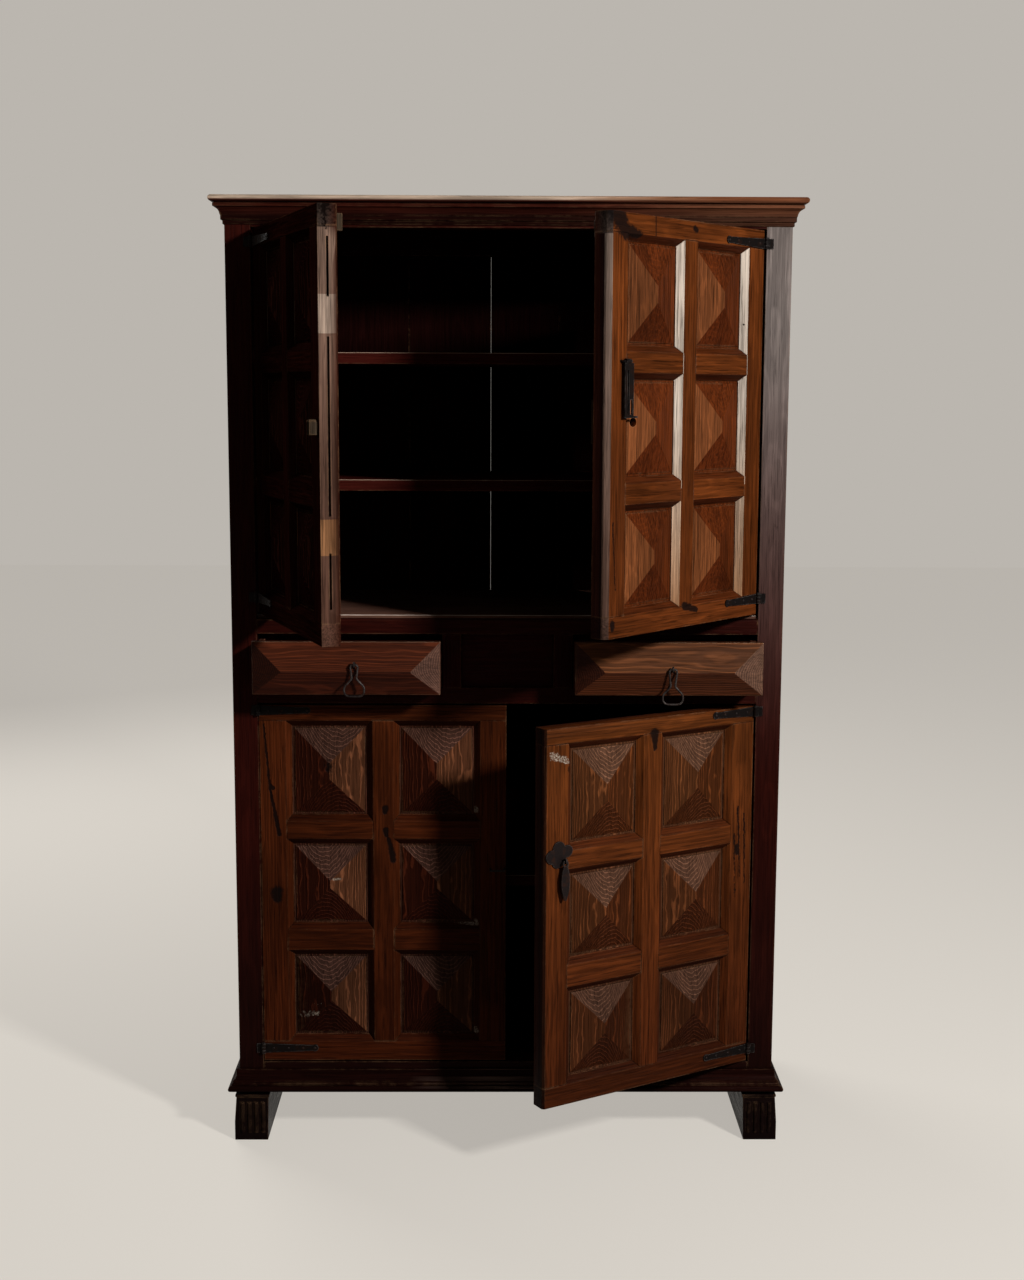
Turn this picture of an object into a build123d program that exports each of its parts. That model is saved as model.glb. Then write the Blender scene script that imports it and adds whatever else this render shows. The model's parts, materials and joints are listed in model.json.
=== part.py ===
import os
from math import cos, radians, sin

from build123d import *

os.makedirs("parts", exist_ok=True)

# All sizes are in millimetres. X runs to the right, Y to the back and Z up from the floor.
# Y is zero in the plane of the front stiles, X is zero at the middle of the width.

# ---- carcase -------------------------------------------------------------------------------
case_width = 1096.0
case_depth = 469.4
stile_width = 50.0
stile_depth = 50.0
rail_depth = 40.0
side_rail_thickness = 26.0
side_panel_thickness = 10.0
side_panel_set = 8.0
side_bottom_rail = 92.0
side_middle_rail_drop = 12.0
side_middle_rail_rise = 6.0
side_top_rail = 84.0
groove_depth = 8.0
fit = 0.1

foot_height = 98.0
bottom_rail_low = 103.6
bottom_rail_height = 59.4
lower_opening_height = 748.0
lower_rail_height = 32.0
drawer_opening_height = 108.0
middle_rail_height = 31.0
floor_lip_height = 7.0
upper_opening_height = 752.0
crown_height = 59.0
top_board_thickness = 20.0

lower_open_low = bottom_rail_low + bottom_rail_height
lower_open_high = lower_open_low + lower_opening_height
drawer_open_low = lower_open_high + lower_rail_height
drawer_open_high = drawer_open_low + drawer_opening_height
middle_rail_high = drawer_open_high + middle_rail_height
upper_open_low = middle_rail_high + floor_lip_height
upper_open_high = upper_open_low + upper_opening_height
height = upper_open_high + crown_height
frame_high = height - top_board_thickness

half_case = case_width / 2
half_open = half_case - stile_width
half_inside = half_case - side_rail_thickness
back_stile_front = case_depth - stile_depth

floor_thickness = 18.0
shelf_thickness = 22.5
upper_shelf_rises = (243.0, 493.5)
lower_shelf_rise = 357.0
shelf_setback = 55.0
lip_setback = 2.0
bearer_height = 22.0
bearer_width = 22.0

back_board_thickness = 12.0
back_rail_depth = 26.0
back_middle_rail_rise = 10.0
back_top_rail = 60.0
back_rebate = 12.0
back_joint_half_gap = 0.6
back_joints = (-372.0, -215.0, -35.0, 115.0, 302.0)

# ---- mouldings and feet --------------------------------------------------------------------
cornice_projection = 27.0
cornice_height = 54.0
base_projection = 22.0
base_height = 44.9
foot_top_width = 66.0
foot_spread = 4.0
foot_overhang = 6.0
foot_front = 16.0
foot_cap = 5.0
foot_cap_proud = 1.0
foot_cap_spread = 2.0
foot_taper = 2.0
foot_flare_height = 39.0
reed_count = 4
reed_sides = 10
reed_radius = 3.6
reed_pitch = 14.0
reed_low = 17.0
reed_drop = 12.0
middle_rail_round = 4.0

# ---- doors ---------------------------------------------------------------------------------
door_thickness = 34.5
hinge_gap = 1.0
meeting_gap = 3.0
door_stile = 52.5
door_muntin = 41.5
bay_bevel = 12.5
panel_setback = 0.8
panel_tongue = 6.0
panel_step = 2.0
panel_margin = 4.0
ridge_proud = 3.0
tenon_thickness = 10.0
tenon_length = 20.0
tenon_shoulder = 5.0
end_tenon_set = 10.0
tenon_depth = 21.0
least_ridge = 1.0

# The bays of a door share its height evenly, apart from what the lower two are out by.
upper_gaps = (4.0, 2.0)
upper_rails = (39.5, 37.0, 37.0, 35.5)
upper_bay_errors = (-1.0, -3.5)
lower_gaps = (2.5, 3.5)
lower_rails = (41.0, 43.2, 36.8, 31.5)
lower_bay_errors = (-2.4, -7.4)

rest_angles = {
    "upper_left": 70.0,
    "upper_right": 49.5,
    "lower_left": 0.0,
    "lower_right": 30.8,
}

# ---- hinges --------------------------------------------------------------------------------
pin_proud = 5.0
pin_radius = 2.2
pin_play = 0.05
knuckle_radius = 4.6
strap_thickness = 2.5
strap_height = 19.0
strap_tip_height = 11.0
strap_tip_radius = 7.0
leaf_reach = 14.0
tail_overlap = 1.0
knuckle_sides = 12
pin_sides = 8
knuckle_height = 6.6
knuckle_play = 0.4
relief = 5.4
pin_head_radius = 3.6
pin_head_height = 2.0
pin_end = 1.0
upper_strap_insets = (31.5, 25.5)
upper_strap_lengths = (118.0, 137.0)
lower_strap_insets = (27.0, 10.5)
lower_strap_lengths = (116.0, 108.0)

# ---- drawers -------------------------------------------------------------------------------
post_inner = 92.0
post_width = 38.0
centre_panel_set = 15.0
centre_panel_thickness = 14.0
drawer_side_gap = 1.0
drawer_low_gap = 1.0
drawer_top_gap = 3.0
drawer_front_thickness = 20.0
drawer_ridge_rise = 17.0
drawer_ridge_height = 46.5
drawer_hip = 58.0
drawer_length = 400.0
drawer_side_thickness = 11.0
drawer_side_drop = 10.0
drawer_running_gap = 0.4
drawer_bottom_thickness = 9.0
drawer_bottom_rise = 7.0
drawer_pulled = {"left": 90.0, "right": 92.0}
runner_thickness = 22.0
runner_reach = 28.0
guide_height = 20.0
guide_gap = 1.0
kicker_gap = 3.0

# ---- ironwork ------------------------------------------------------------------------------
wire = 2.0
wire_sides = 6
bend_steps = 3
pull_half_width = 19.5
pull_drops = {"left": 62.0, "right": 68.5}
pull_head_half = 8.0
pull_waist_half = 4.2
pull_waist_rise = 34.5
pull_shoulder_rise = 18.5
pull_bends = (5.5, 8.0, 12.0, 10.0)
pull_offsets = {"left": 17.0, "right": 5.5}
pull_rises = {"left": 62.5, "right": 55.0}
pull_out = 22.0
eye_wire = 1.5
eye_play = 0.6
shank_length = 14.0

half_pivot = half_open - hinge_gap / 2
door_width = (2 * half_open - meeting_gap - 2 * hinge_gap) / 2
door_start = hinge_gap / 2
bay_width = (door_width - 2 * door_stile - door_muntin) / 2
panel_depth = bay_bevel + panel_setback
upper_door = (upper_open_low + upper_gaps[0], upper_open_high - upper_gaps[1])
lower_door = (lower_open_low + lower_gaps[0], lower_open_high - lower_gaps[1])
upper_foot, upper_head = upper_door
lower_foot, lower_head = lower_door


def inward(*distances):
    """Distances in from the free edge of a door, as distances from its hinge line."""
    return tuple(door_start + door_width - distance for distance in distances)


# Fittings of the doors: "s" is a distance from the hinge line, along the face of the door.
catch_ss = inward(56.0, 16.0)
catch_drop = 14.0
catch_height = 29.0
catch_thickness = 14.0
catch_zs = (upper_head - catch_drop - catch_height, upper_head - catch_drop)
knob_ss = inward(24.0, 6.0)
knob_zs = (upper_foot + 362.0, upper_foot + 389.0)
knob_proud = 16.0
knob_round = 5.0
lock_ss = inward(101.0, 26.0)
lock_zs = (upper_foot + 345.0, upper_foot + 423.0)
lock_thickness = 24.0
keyhole_radius = 8.0
keyholes = {"upper_right": (*inward(84.0), upper_foot + 383.0)}
hasp_ss = inward(61.8, 36.0)
hasp_low = upper_foot + 391.0
hasp_pivot_z = upper_foot + 490.0
hasp_out = 7.5
hasp_thickness = 3.0
hasp_neck_gap = 1.0
hasp_slot_ss = inward(47.3, 43.2)
hasp_slot_foot = 5.0
hasp_slot_head = 15.0
hasp_fork_ss = inward(57.5, 51.7)
hasp_fork_foot = 6.0
hasp_fork = 32.0
hasp_hook_ss = inward(74.0, 61.8)
hasp_hook_height = 3.5
hasp_barrel_ss = inward(52.5, 37.5)
hasp_barrel_radius = 4.4
hasp_staple_ss = inward(55.5, 34.5)
plate_place = (*inward(33.0), lower_foot + 499.5)
plate_thickness = 3.0
plate_lobes = ((0, 0, 17.0), (17.0, -3.0, 13.5), (-17.0, 5.0, 11.5), (2.0, 12.0, 13.5), (5.0, -14.0, 12.0))
lobe_sides = 18
drop_place = (*inward(40.0), lower_foot + 487.5)
drop_out = 11.0
drop_ring = 5.0
drop_thickness = 3.2
drop_wire = 1.6
drop_neck_half = 4.0
drop_half_width = 9.0
drop_tip_half = 2.0
drop_belly = 47.0
drop_length = 76.0
lock_staple_ss = inward(31.5, 4.0)
lock_staple_z = lower_foot + 404.5
lock_staple_out = 12.0

# Square holes for the shanks of the ironwork, and the bevel worn on the free edge of some doors.
shank_places = {
    "upper_right": tuple((s, hasp_pivot_z) for s in hasp_staple_ss),
    "lower_right": (drop_place,),
    "lower_left": tuple((s, lock_staple_z) for s in lock_staple_ss),
}
free_edge_bevels = {"upper_right": 8.0, "lower_right": 4.0}
edge_slot_width = 4.0
edge_slot_depth = 6.0
edge_slots = {
    "upper_left": (
        (upper_foot + 64.0, upper_foot + 161.0),
        (upper_foot + 224.0, upper_foot + 527.0),
        (upper_foot + 593.0, upper_foot + 692.5),
    )
}


def span(x0, x1, y0, y1):
    """A rectangle of the sketch in hand, between two corners."""
    with Locations(((x0 + x1) / 2, (y0 + y1) / 2)):
        Rectangle(abs(x1 - x0), abs(y1 - y0))


def block(xs, ys, zs, mode=Mode.ADD):
    """A squared timber between three pairs of faces."""
    with BuildSketch(Plane.XY.offset(zs[0])) as section:
        span(*xs, *ys)
    extrude(section.sketch, amount=zs[1] - zs[0], mode=mode)


def both_sides(xs):
    """The same stretch of X on the right and on the left of the case."""
    return xs, (-xs[1], -xs[0])


def keep(piece, name):
    """Label a finished piece and write it out."""
    piece.part.label = name
    export_step(piece.part, f"parts/{name}.step")


def hip_roof(base, width, length, ridge_offset, hip, rise):
    """A raised field: a ridge along the plane's Y, and a hip at each end that starts at its edge."""
    along = Plane(base.origin, x_dir=base.x_dir, z_dir=-base.y_dir)
    across = Plane(base.origin, x_dir=base.y_dir, z_dir=base.x_dir)
    with BuildPart() as roof:
        with BuildSketch(along):
            Polygon((-width / 2, 0), (width / 2, 0), (ridge_offset, rise), align=None)
        extrude(amount=length / 2, both=True)
        with BuildSketch(across):
            Polygon(
                (-length / 2, 0),
                (length / 2, 0),
                (length / 2 - hip, rise),
                (hip - length / 2, rise),
                align=None,
            )
        extrude(amount=width / 2, both=True, mode=Mode.INTERSECT)
    return roof.part


# =============================================================================================
# Carcase
# =============================================================================================

side_panel_face = half_case - side_panel_set
side_panel_back = side_panel_face - side_panel_thickness
side_groove = (side_panel_back - fit, side_panel_face + fit)
front_groove = (stile_depth - groove_depth, stile_depth)
rear_groove = (back_stile_front, back_stile_front + groove_depth)

side_rail_levels = (
    (foot_height, foot_height + side_bottom_rail),
    (drawer_open_low - side_middle_rail_drop, upper_open_low + side_middle_rail_rise),
    (frame_high - side_top_rail, frame_high),
)
side_panel_levels = (
    (side_rail_levels[0][1] - groove_depth, side_rail_levels[1][0] + groove_depth),
    (side_rail_levels[1][1] - groove_depth, side_rail_levels[2][0] + groove_depth),
)

with BuildPart() as front_stiles:
    for xs in both_sides((half_open, half_case)):
        block(xs, (0, stile_depth), (foot_height, frame_high))
    for xs in both_sides(side_groove):
        for low, high in side_panel_levels:
            block(xs, front_groove, (low - fit, high + fit), mode=Mode.SUBTRACT)
keep(front_stiles, "front_stiles")

with BuildPart() as back_stiles:
    for xs in both_sides((half_open, half_case)):
        block(xs, (back_stile_front, case_depth), (foot_height, frame_high))
    for xs in both_sides(side_groove):
        for low, high in side_panel_levels:
            block(xs, rear_groove, (low - fit, high + fit), mode=Mode.SUBTRACT)
    for xs in both_sides((half_open, half_open + back_rebate)):
        ys = (case_depth - back_board_thickness, case_depth)
        block(xs, ys, (foot_height, frame_high), mode=Mode.SUBTRACT)
keep(back_stiles, "back_stiles")

with BuildPart() as front_rails:
    for low, high in (
        (bottom_rail_low, lower_open_low),
        (lower_open_high, drawer_open_low),
        (drawer_open_high, middle_rail_high),
        (upper_open_high, frame_high),
    ):
        block((-half_open, half_open), (0, rail_depth), (low, high))
    arrises = front_rails.edges().filter_by(Axis.X).filter_by_position(
        Axis.Y, -fit, fit
    )
    fillet(
        arrises.filter_by_position(Axis.Z, middle_rail_high - fit, middle_rail_high + fit),
        radius=middle_rail_round,
    )
keep(front_rails, "front_rails")

with BuildPart() as side_rails:
    for xs in both_sides((half_inside, half_case)):
        for low, high in side_rail_levels:
            block(xs, (stile_depth, back_stile_front), (low, high))
    for xs in both_sides(side_groove):
        for low, high in side_panel_levels:
            ys = (stile_depth, back_stile_front)
            block(xs, ys, (low - fit, high + fit), mode=Mode.SUBTRACT)
keep(side_rails, "side_rails")

with BuildPart() as side_panels:
    for xs in both_sides((side_panel_back, side_panel_face)):
        for low, high in side_panel_levels:
            block(xs, (front_groove[0] + fit, rear_groove[1] - fit), (low, high))
keep(side_panels, "side_panels")

back_board_front = case_depth - back_board_thickness
back_rail_front = back_board_front - back_rail_depth
with BuildPart() as back_rails:
    for low, high in (
        (foot_height, lower_open_low - floor_thickness),
        (drawer_open_low - runner_thickness, drawer_open_high + back_middle_rail_rise),
        (frame_high - back_top_rail, frame_high),
    ):
        block((-half_open, half_open), (back_rail_front, back_board_front), (low, high))
keep(back_rails, "back_rails")

board_edges = (
    [-half_open - back_rebate + fit - back_joint_half_gap]
    + list(back_joints)
    + [half_open + back_rebate - fit + back_joint_half_gap]
)
with BuildPart() as back_boards:
    for left, right in zip(board_edges, board_edges[1:]):
        xs = (left + back_joint_half_gap, right - back_joint_half_gap)
        block(xs, (back_board_front, case_depth), (foot_height, frame_high))
keep(back_boards, "back_boards")

with BuildPart() as top_board:
    block((-half_case, half_case), (0, case_depth), (frame_high, height))
keep(top_board, "top_board")

# A floor or shelf reaches past the stiles to the side rails, so its corners are notched.


def notched_board(front, back, low, thickness):
    """A board that fills the inside of the case between its four stiles."""
    block((-half_open, half_open), (front, back), (low, low + thickness))
    wide_front = max(front, stile_depth)
    wide_back = min(back, back_stile_front)
    block((-half_inside, half_inside), (wide_front, wide_back), (low, low + thickness))


with BuildPart() as upper_floor:
    floor_low = upper_open_low - floor_thickness
    notched_board(rail_depth, back_board_front, floor_low, floor_thickness)
    lip_front = middle_rail_round + lip_setback
    block((-half_open, half_open), (lip_front, rail_depth), (middle_rail_high, upper_open_low))
keep(upper_floor, "upper_floor")

with BuildPart() as lower_floor:
    floor_low = lower_open_low - floor_thickness
    notched_board(rail_depth, back_board_front, floor_low, floor_thickness)
keep(lower_floor, "lower_floor")

shelf_lows = tuple(upper_open_low + rise for rise in upper_shelf_rises)
shelf_lows += (lower_open_low + lower_shelf_rise,)
with BuildPart() as shelves:
    for low in shelf_lows:
        notched_board(shelf_setback, back_board_front, low, shelf_thickness)
keep(shelves, "shelves")

with BuildPart() as shelf_bearers:
    for top in shelf_lows + (lower_open_low - floor_thickness,):
        in_panel = top > side_rail_levels[0][1]
        outer = side_panel_back if in_panel else half_inside
        for xs in both_sides((outer - bearer_width, outer)):
            block(xs, (stile_depth, back_stile_front), (top - bearer_height, top))
keep(shelf_bearers, "shelf_bearers")

# =============================================================================================
# Mouldings: a straight length along the front and one along each side, mitred at the corners
# =============================================================================================


def cornice_profile():
    """Section of the cornice, with X as its projection and Y as the height above its foot."""
    fillet_set, fillet_high = 3.0, 8.0
    band_set, band_high = 6.5, 17.0
    cove_foot = (7.5, 18.0)
    cove_radius = 17.0
    corona_set, corona_low = 17.0, 32.5
    ovolo_set, ovolo_high = 19.5, 39.0
    nose = 6.25
    nose_low = cornice_height - 2 * nose
    nose_start = cornice_projection - nose
    with BuildLine() as outline:
        steps = Polyline(
            (0, 0),
            (fillet_set, 0),
            (fillet_set, fillet_high),
            (band_set, fillet_high),
            (band_set, band_high),
            cove_foot,
        )
        cove = RadiusArc(steps @ 1, (corona_set, corona_low), cove_radius)
        Polyline(
            cove @ 1,
            (ovolo_set, corona_low),
            (ovolo_set, ovolo_high),
            (corona_set, ovolo_high),
            (corona_set, nose_low),
            (nose_start, nose_low),
        )
        ThreePointArc(
            (nose_start, nose_low),
            (cornice_projection, nose_low + nose),
            (nose_start, cornice_height),
        )
        Polyline((nose_start, cornice_height), (0, cornice_height), (0, 0))
    make_face(outline.edges())


def base_profile():
    """Section of the base moulding, with X as its projection and Y as the height above its foot."""
    torus = 6.7
    torus_start = base_projection - torus
    ledge_high = 17.0
    fillet_set, fillet_high = 13.0, 22.0
    cove_set, cove_high = 6.0, 36.0
    cove_radius = 14.0
    with BuildLine() as outline:
        Polyline((0, 0), (torus_start, 0))
        ThreePointArc(
            (torus_start, 0), (base_projection, torus), (torus_start, 2 * torus)
        )
        ledge = Polyline(
            (torus_start, 2 * torus),
            (torus_start, ledge_high),
            (fillet_set, ledge_high),
            (fillet_set, fillet_high),
        )
        cove = RadiusArc(ledge @ 1, (cove_set, cove_high), cove_radius)
        Polyline(cove @ 1, (cove_set, base_height), (0, base_height), (0, 0))
    make_face(outline.edges())


def front_length(profile, low, projection):
    """The front length of a moulding, cut to its two mitres."""
    section = Plane((0, 0, low), x_dir=(0, -1, 0), z_dir=(-1, 0, 0))
    with BuildPart() as front:
        with BuildSketch(section):
            profile()
        extrude(amount=half_case + projection, both=True)
        with BuildSketch(Plane.XY.offset(low)):
            Polygon(
                (-half_case, 0),
                (half_case, 0),
                (half_case + projection, -projection),
                (-half_case - projection, -projection),
                align=None,
            )
        extrude(amount=cornice_height, mode=Mode.INTERSECT)
    return front


def side_lengths(profile, low, projection):
    """The two side lengths of a moulding, mitred at the front and cut square at the back."""
    with BuildPart() as sides:
        for side in (1, -1):
            section = Plane((side * half_case, 0, low), x_dir=(side, 0, 0), z_dir=(0, -side, 0))
            with BuildSketch(section):
                profile()
            extrude(amount=case_depth + projection, both=True)
        with BuildSketch(Plane.XY.offset(low)):
            for side in (1, -1):
                Polygon(
                    (side * half_case, 0),
                    (side * (half_case + projection), -projection),
                    (side * (half_case + projection), case_depth),
                    (side * half_case, case_depth),
                    align=None,
                )
        extrude(amount=cornice_height, mode=Mode.INTERSECT)
    return sides


cornice_low = height - cornice_height
cornice = front_length(cornice_profile, cornice_low, cornice_projection)
keep(cornice, "cornice")
cornice_returns = side_lengths(cornice_profile, cornice_low, cornice_projection)
keep(cornice_returns, "cornice_returns")
base_moulding = front_length(base_profile, bottom_rail_low, base_projection)
keep(base_moulding, "base_moulding")
base_returns = side_lengths(base_profile, bottom_rail_low, base_projection)
keep(base_returns, "base_returns")

# Each foot is a long block under one side, wider at the floor, with four reeds on its front end
# between a thin cap and a plain toe.
foot_outer = half_case + foot_overhang
foot_inner = foot_outer - foot_top_width
cap_low = foot_height - foot_cap
with BuildPart() as feet:
    for side in (1, -1):
        with BuildSketch(Plane((0, -foot_front, 0), x_dir=(1, 0, 0), z_dir=(0, -1, 0))):
            Polygon(
                (side * (foot_inner + foot_taper), 0),
                (side * (foot_outer + foot_spread), 0),
                (side * (foot_outer + foot_spread), foot_flare_height),
                (side * foot_outer, cap_low),
                (side * foot_inner, cap_low),
                align=None,
            )
        extrude(amount=-(case_depth + foot_front))
        xs = (side * (foot_inner - foot_cap_spread), side * (foot_outer + foot_cap_spread))
        block(xs, (-foot_front - foot_cap_proud, case_depth), (cap_low, foot_height))
        middle = side * (foot_inner + foot_outer) / 2
        for index in range(reed_count):
            x = middle + (index - (reed_count - 1) / 2) * reed_pitch
            with BuildSketch(Plane.XY.offset(reed_low)):
                with Locations((x, -foot_front)):
                    RegularPolygon(reed_radius, reed_sides)
            extrude(amount=cap_low - reed_drop - reed_low)
keep(feet, "feet")

# =============================================================================================
# Drawer bay
# =============================================================================================

post_outer = post_inner + post_width
with BuildPart() as drawer_posts:
    for xs in both_sides((post_inner, post_outer)):
        block(xs, (0, rail_depth), (drawer_open_low, drawer_open_high))
keep(drawer_posts, "drawer_posts")

with BuildPart() as centre_panel:
    ys = (centre_panel_set, centre_panel_set + centre_panel_thickness)
    block((-post_inner, post_inner), ys, (drawer_open_low, drawer_open_high))
keep(centre_panel, "centre_panel")

side_outer = half_open - drawer_side_gap - guide_gap
side_inner = post_outer + drawer_side_gap + guide_gap
runner_low = drawer_open_low - runner_thickness
with BuildPart() as drawer_runners:
    for xs in both_sides((half_open - runner_reach, half_inside)):
        ys = (stile_depth, back_stile_front)
        block(xs, ys, (runner_low, drawer_open_low))
    for xs in both_sides((half_open, half_inside)):
        block(xs, ys, (drawer_open_low, drawer_open_low + guide_height))
    for xs in both_sides((post_inner, post_outer + runner_reach)):
        ys = (rail_depth, back_rail_front)
        block(xs, ys, (runner_low, drawer_open_low))
    for xs in both_sides((post_inner, post_outer)):
        block(xs, ys, (drawer_open_low, drawer_open_low + guide_height))
keep(drawer_runners, "drawer_runners")

drawer_low = drawer_open_low + drawer_low_gap
drawer_high = drawer_open_high - drawer_top_gap
side_low = drawer_open_low + drawer_running_gap
side_high = drawer_high - drawer_side_drop
with BuildPart() as drawer_kickers:
    zs = (side_high + kicker_gap, upper_open_low - floor_thickness)
    for xs in both_sides((half_open - runner_reach, half_inside)):
        block(xs, (stile_depth, back_stile_front), zs)
    for xs in both_sides((post_outer, post_outer + runner_reach)):
        block(xs, (rail_depth, back_rail_front), zs)
keep(drawer_kickers, "drawer_kickers")

# =============================================================================================
# Wire work shared by the pulls
# =============================================================================================


def eye(face, x, z, out):
    """A cotter: a small ring square to the face, with a shank that goes into the wood."""
    ring_radius = wire + eye_play + eye_wire
    centre = face.from_local_coords((x, z, out))
    with BuildPart() as cotter:
        ring_plane = Plane(centre, x_dir=face.z_dir, z_dir=face.x_dir)
        with BuildSketch(ring_plane):
            RegularPolygon(ring_radius + eye_wire, knuckle_sides)
        extrude(amount=eye_wire, both=True)
        with BuildSketch(Plane(centre, x_dir=face.x_dir, z_dir=-face.z_dir)):
            Rectangle(2 * eye_wire, 2 * eye_wire)
        extrude(amount=out + shank_length)
        with BuildSketch(ring_plane):
            RegularPolygon(ring_radius - eye_wire, pin_sides, major_radius=False)
        extrude(amount=2 * eye_wire, both=True, mode=Mode.SUBTRACT)
    return cotter


def shank_hole(face, x, z, out):
    """The square hole that a shank is driven into, from some way in front of the face."""
    with BuildSketch(face.offset(out)) as section:
        with Locations((x, z)):
            Rectangle(2 * eye_wire + fit, 2 * eye_wire + fit)
    extrude(section.sketch, amount=-(out + shank_length + fit), mode=Mode.SUBTRACT)


def loop_pull(face, x, top, out, drop):
    """A pear-shaped loop bent from one wire, hanging from its narrow head."""
    hang = Plane(face.from_local_coords((x, top, out)), x_dir=face.x_dir, z_dir=face.z_dir)
    right_side = (
        (pull_head_half, 0),
        (pull_waist_half, pull_waist_rise - drop),
        (pull_half_width, pull_shoulder_rise - drop),
        (pull_half_width, -drop),
    )
    left_side = tuple((-px, pz) for px, pz in reversed(right_side))
    bends = pull_bends + pull_bends[::-1]
    with BuildPart() as pull:
        with BuildLine(hang):
            curve = FilletPolyline(
                *right_side, *left_side, radius=bends, close=True, mode=Mode.PRIVATE
            )
            turns = []
            for edge in curve.order_edges():
                steps = 2 if edge.geom_type == GeomType.LINE else bend_steps
                turns += [edge @ (step / steps) for step in range(steps)]
            path = Polyline(*turns[1:], turns[0], close=True)
        with BuildSketch(Plane(path @ 0, z_dir=path % 0)):
            RegularPolygon(wire, wire_sides)
        sweep(path=path, transition=Transition.RIGHT)
    return pull


# =============================================================================================
# Drawers: each is built where it stands, pulled part of the way out
# =============================================================================================

def build_drawer(name, side):
    """One drawer with its front, sides, back, bottom, cotter and loop pull."""
    pulled = drawer_pulled[name]
    front_low_x = side * (post_outer + drawer_side_gap)
    front_high_x = side * (half_open - drawer_side_gap)
    middle_x = (front_low_x + front_high_x) / 2
    front_width = abs(front_high_x - front_low_x)
    front_height = drawer_high - drawer_low
    face = Plane((middle_x, -pulled, 0), x_dir=(1, 0, 0), z_dir=(0, -1, 0))
    inside_y = drawer_front_thickness - pulled
    back_y = drawer_length - pulled

    middle_z = (drawer_low + drawer_high) / 2
    field = Plane((middle_x, -pulled, middle_z), x_dir=(0, 0, -1), z_dir=(0, -1, 0))
    ridge_offset = front_height / 2 - drawer_ridge_height
    roof = hip_roof(field, front_height, front_width, ridge_offset, drawer_hip, drawer_ridge_rise)
    eye_x, eye_z = pull_offsets[name], drawer_low + pull_rises[name]

    with BuildPart() as front:
        xs = (front_low_x, front_high_x)
        block(xs, (-pulled, inside_y), (drawer_low, drawer_high))
        add(roof)
        shank_hole(face, eye_x, eye_z, drawer_ridge_rise)
    keep(front, f"{name}_drawer_front")

    near = side * side_inner
    far = side * side_outer
    near_in = near + side * drawer_side_thickness
    far_in = far - side * drawer_side_thickness
    with BuildPart() as sides:
        for xs in ((near, near_in), (far_in, far)):
            block(xs, (inside_y, back_y), (side_low, side_high))
    keep(sides, f"{name}_drawer_sides")

    bottom_low = side_low + drawer_bottom_rise
    bottom_high = bottom_low + drawer_bottom_thickness
    with BuildPart() as back:
        ys = (back_y - drawer_side_thickness, back_y)
        block((near_in, far_in), ys, (bottom_high, side_high))
    keep(back, f"{name}_drawer_back")

    with BuildPart() as bottom:
        block((near_in, far_in), (inside_y, back_y), (bottom_low, bottom_high))
    keep(bottom, f"{name}_drawer_bottom")

    staple = eye(face, eye_x, eye_z, pull_out)
    keep(staple, f"{name}_drawer_cotter")
    pull = loop_pull(face, eye_x, eye_z, pull_out, pull_drops[name])
    keep(pull, f"{name}_drawer_pull")


build_drawer("left", -1)
build_drawer("right", 1)

# =============================================================================================
# Doors: each is built in the plane of its own face, turned about its hinge pins
# =============================================================================================


def door_face(side, angle):
    """Face plane of a door: its origin is on the hinge line, its Y is up and its Z points out."""
    turn = radians(side * angle)
    return Plane(
        (side * half_pivot - pin_proud * sin(turn), pin_proud * (cos(turn) - 1), 0),
        x_dir=(cos(turn), sin(turn), 0),
        z_dir=(sin(turn), -cos(turn), 0),
    )


def frame_rows(low, high, rails, errors):
    """Levels of the four rails, and of the three bays between them, from the bottom up."""
    rail_levels = []
    bay_levels = []
    z = low
    even_bay = (high - low - sum(rails)) / (len(rails) - 1)
    bays = [even_bay + error for error in errors + (-sum(errors),)]
    for rail, bay in zip(rails, bays):
        rail_levels.append((z, z + rail))
        bay_levels.append((z + rail, z + rail + bay))
        z += rail + bay
    rail_levels.append((z, z + rails[-1]))
    return rail_levels, bay_levels


def mitred_strips(bay, edges):
    """The bevelled strips inside the arris of a bay that belong to the named edges."""
    x0, x1, z0, z1 = bay
    b = bay_bevel if x1 > x0 else -bay_bevel
    outer = {"low": ((x0, z0), (x1, z0)), "high": ((x1, z1), (x0, z1))}
    outer["first"] = ((x0, z1), (x0, z0))
    outer["last"] = ((x1, z0), (x1, z1))
    inner = {(x0, z0): (x0 + b, z0 + bay_bevel), (x1, z0): (x1 - b, z0 + bay_bevel)}
    inner[(x1, z1)] = (x1 - b, z1 - bay_bevel)
    inner[(x0, z1)] = (x0 + b, z1 - bay_bevel)
    for edge in edges:
        a, c = outer[edge]
        Polygon(a, c, inner[c], inner[a], align=None)


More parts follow.
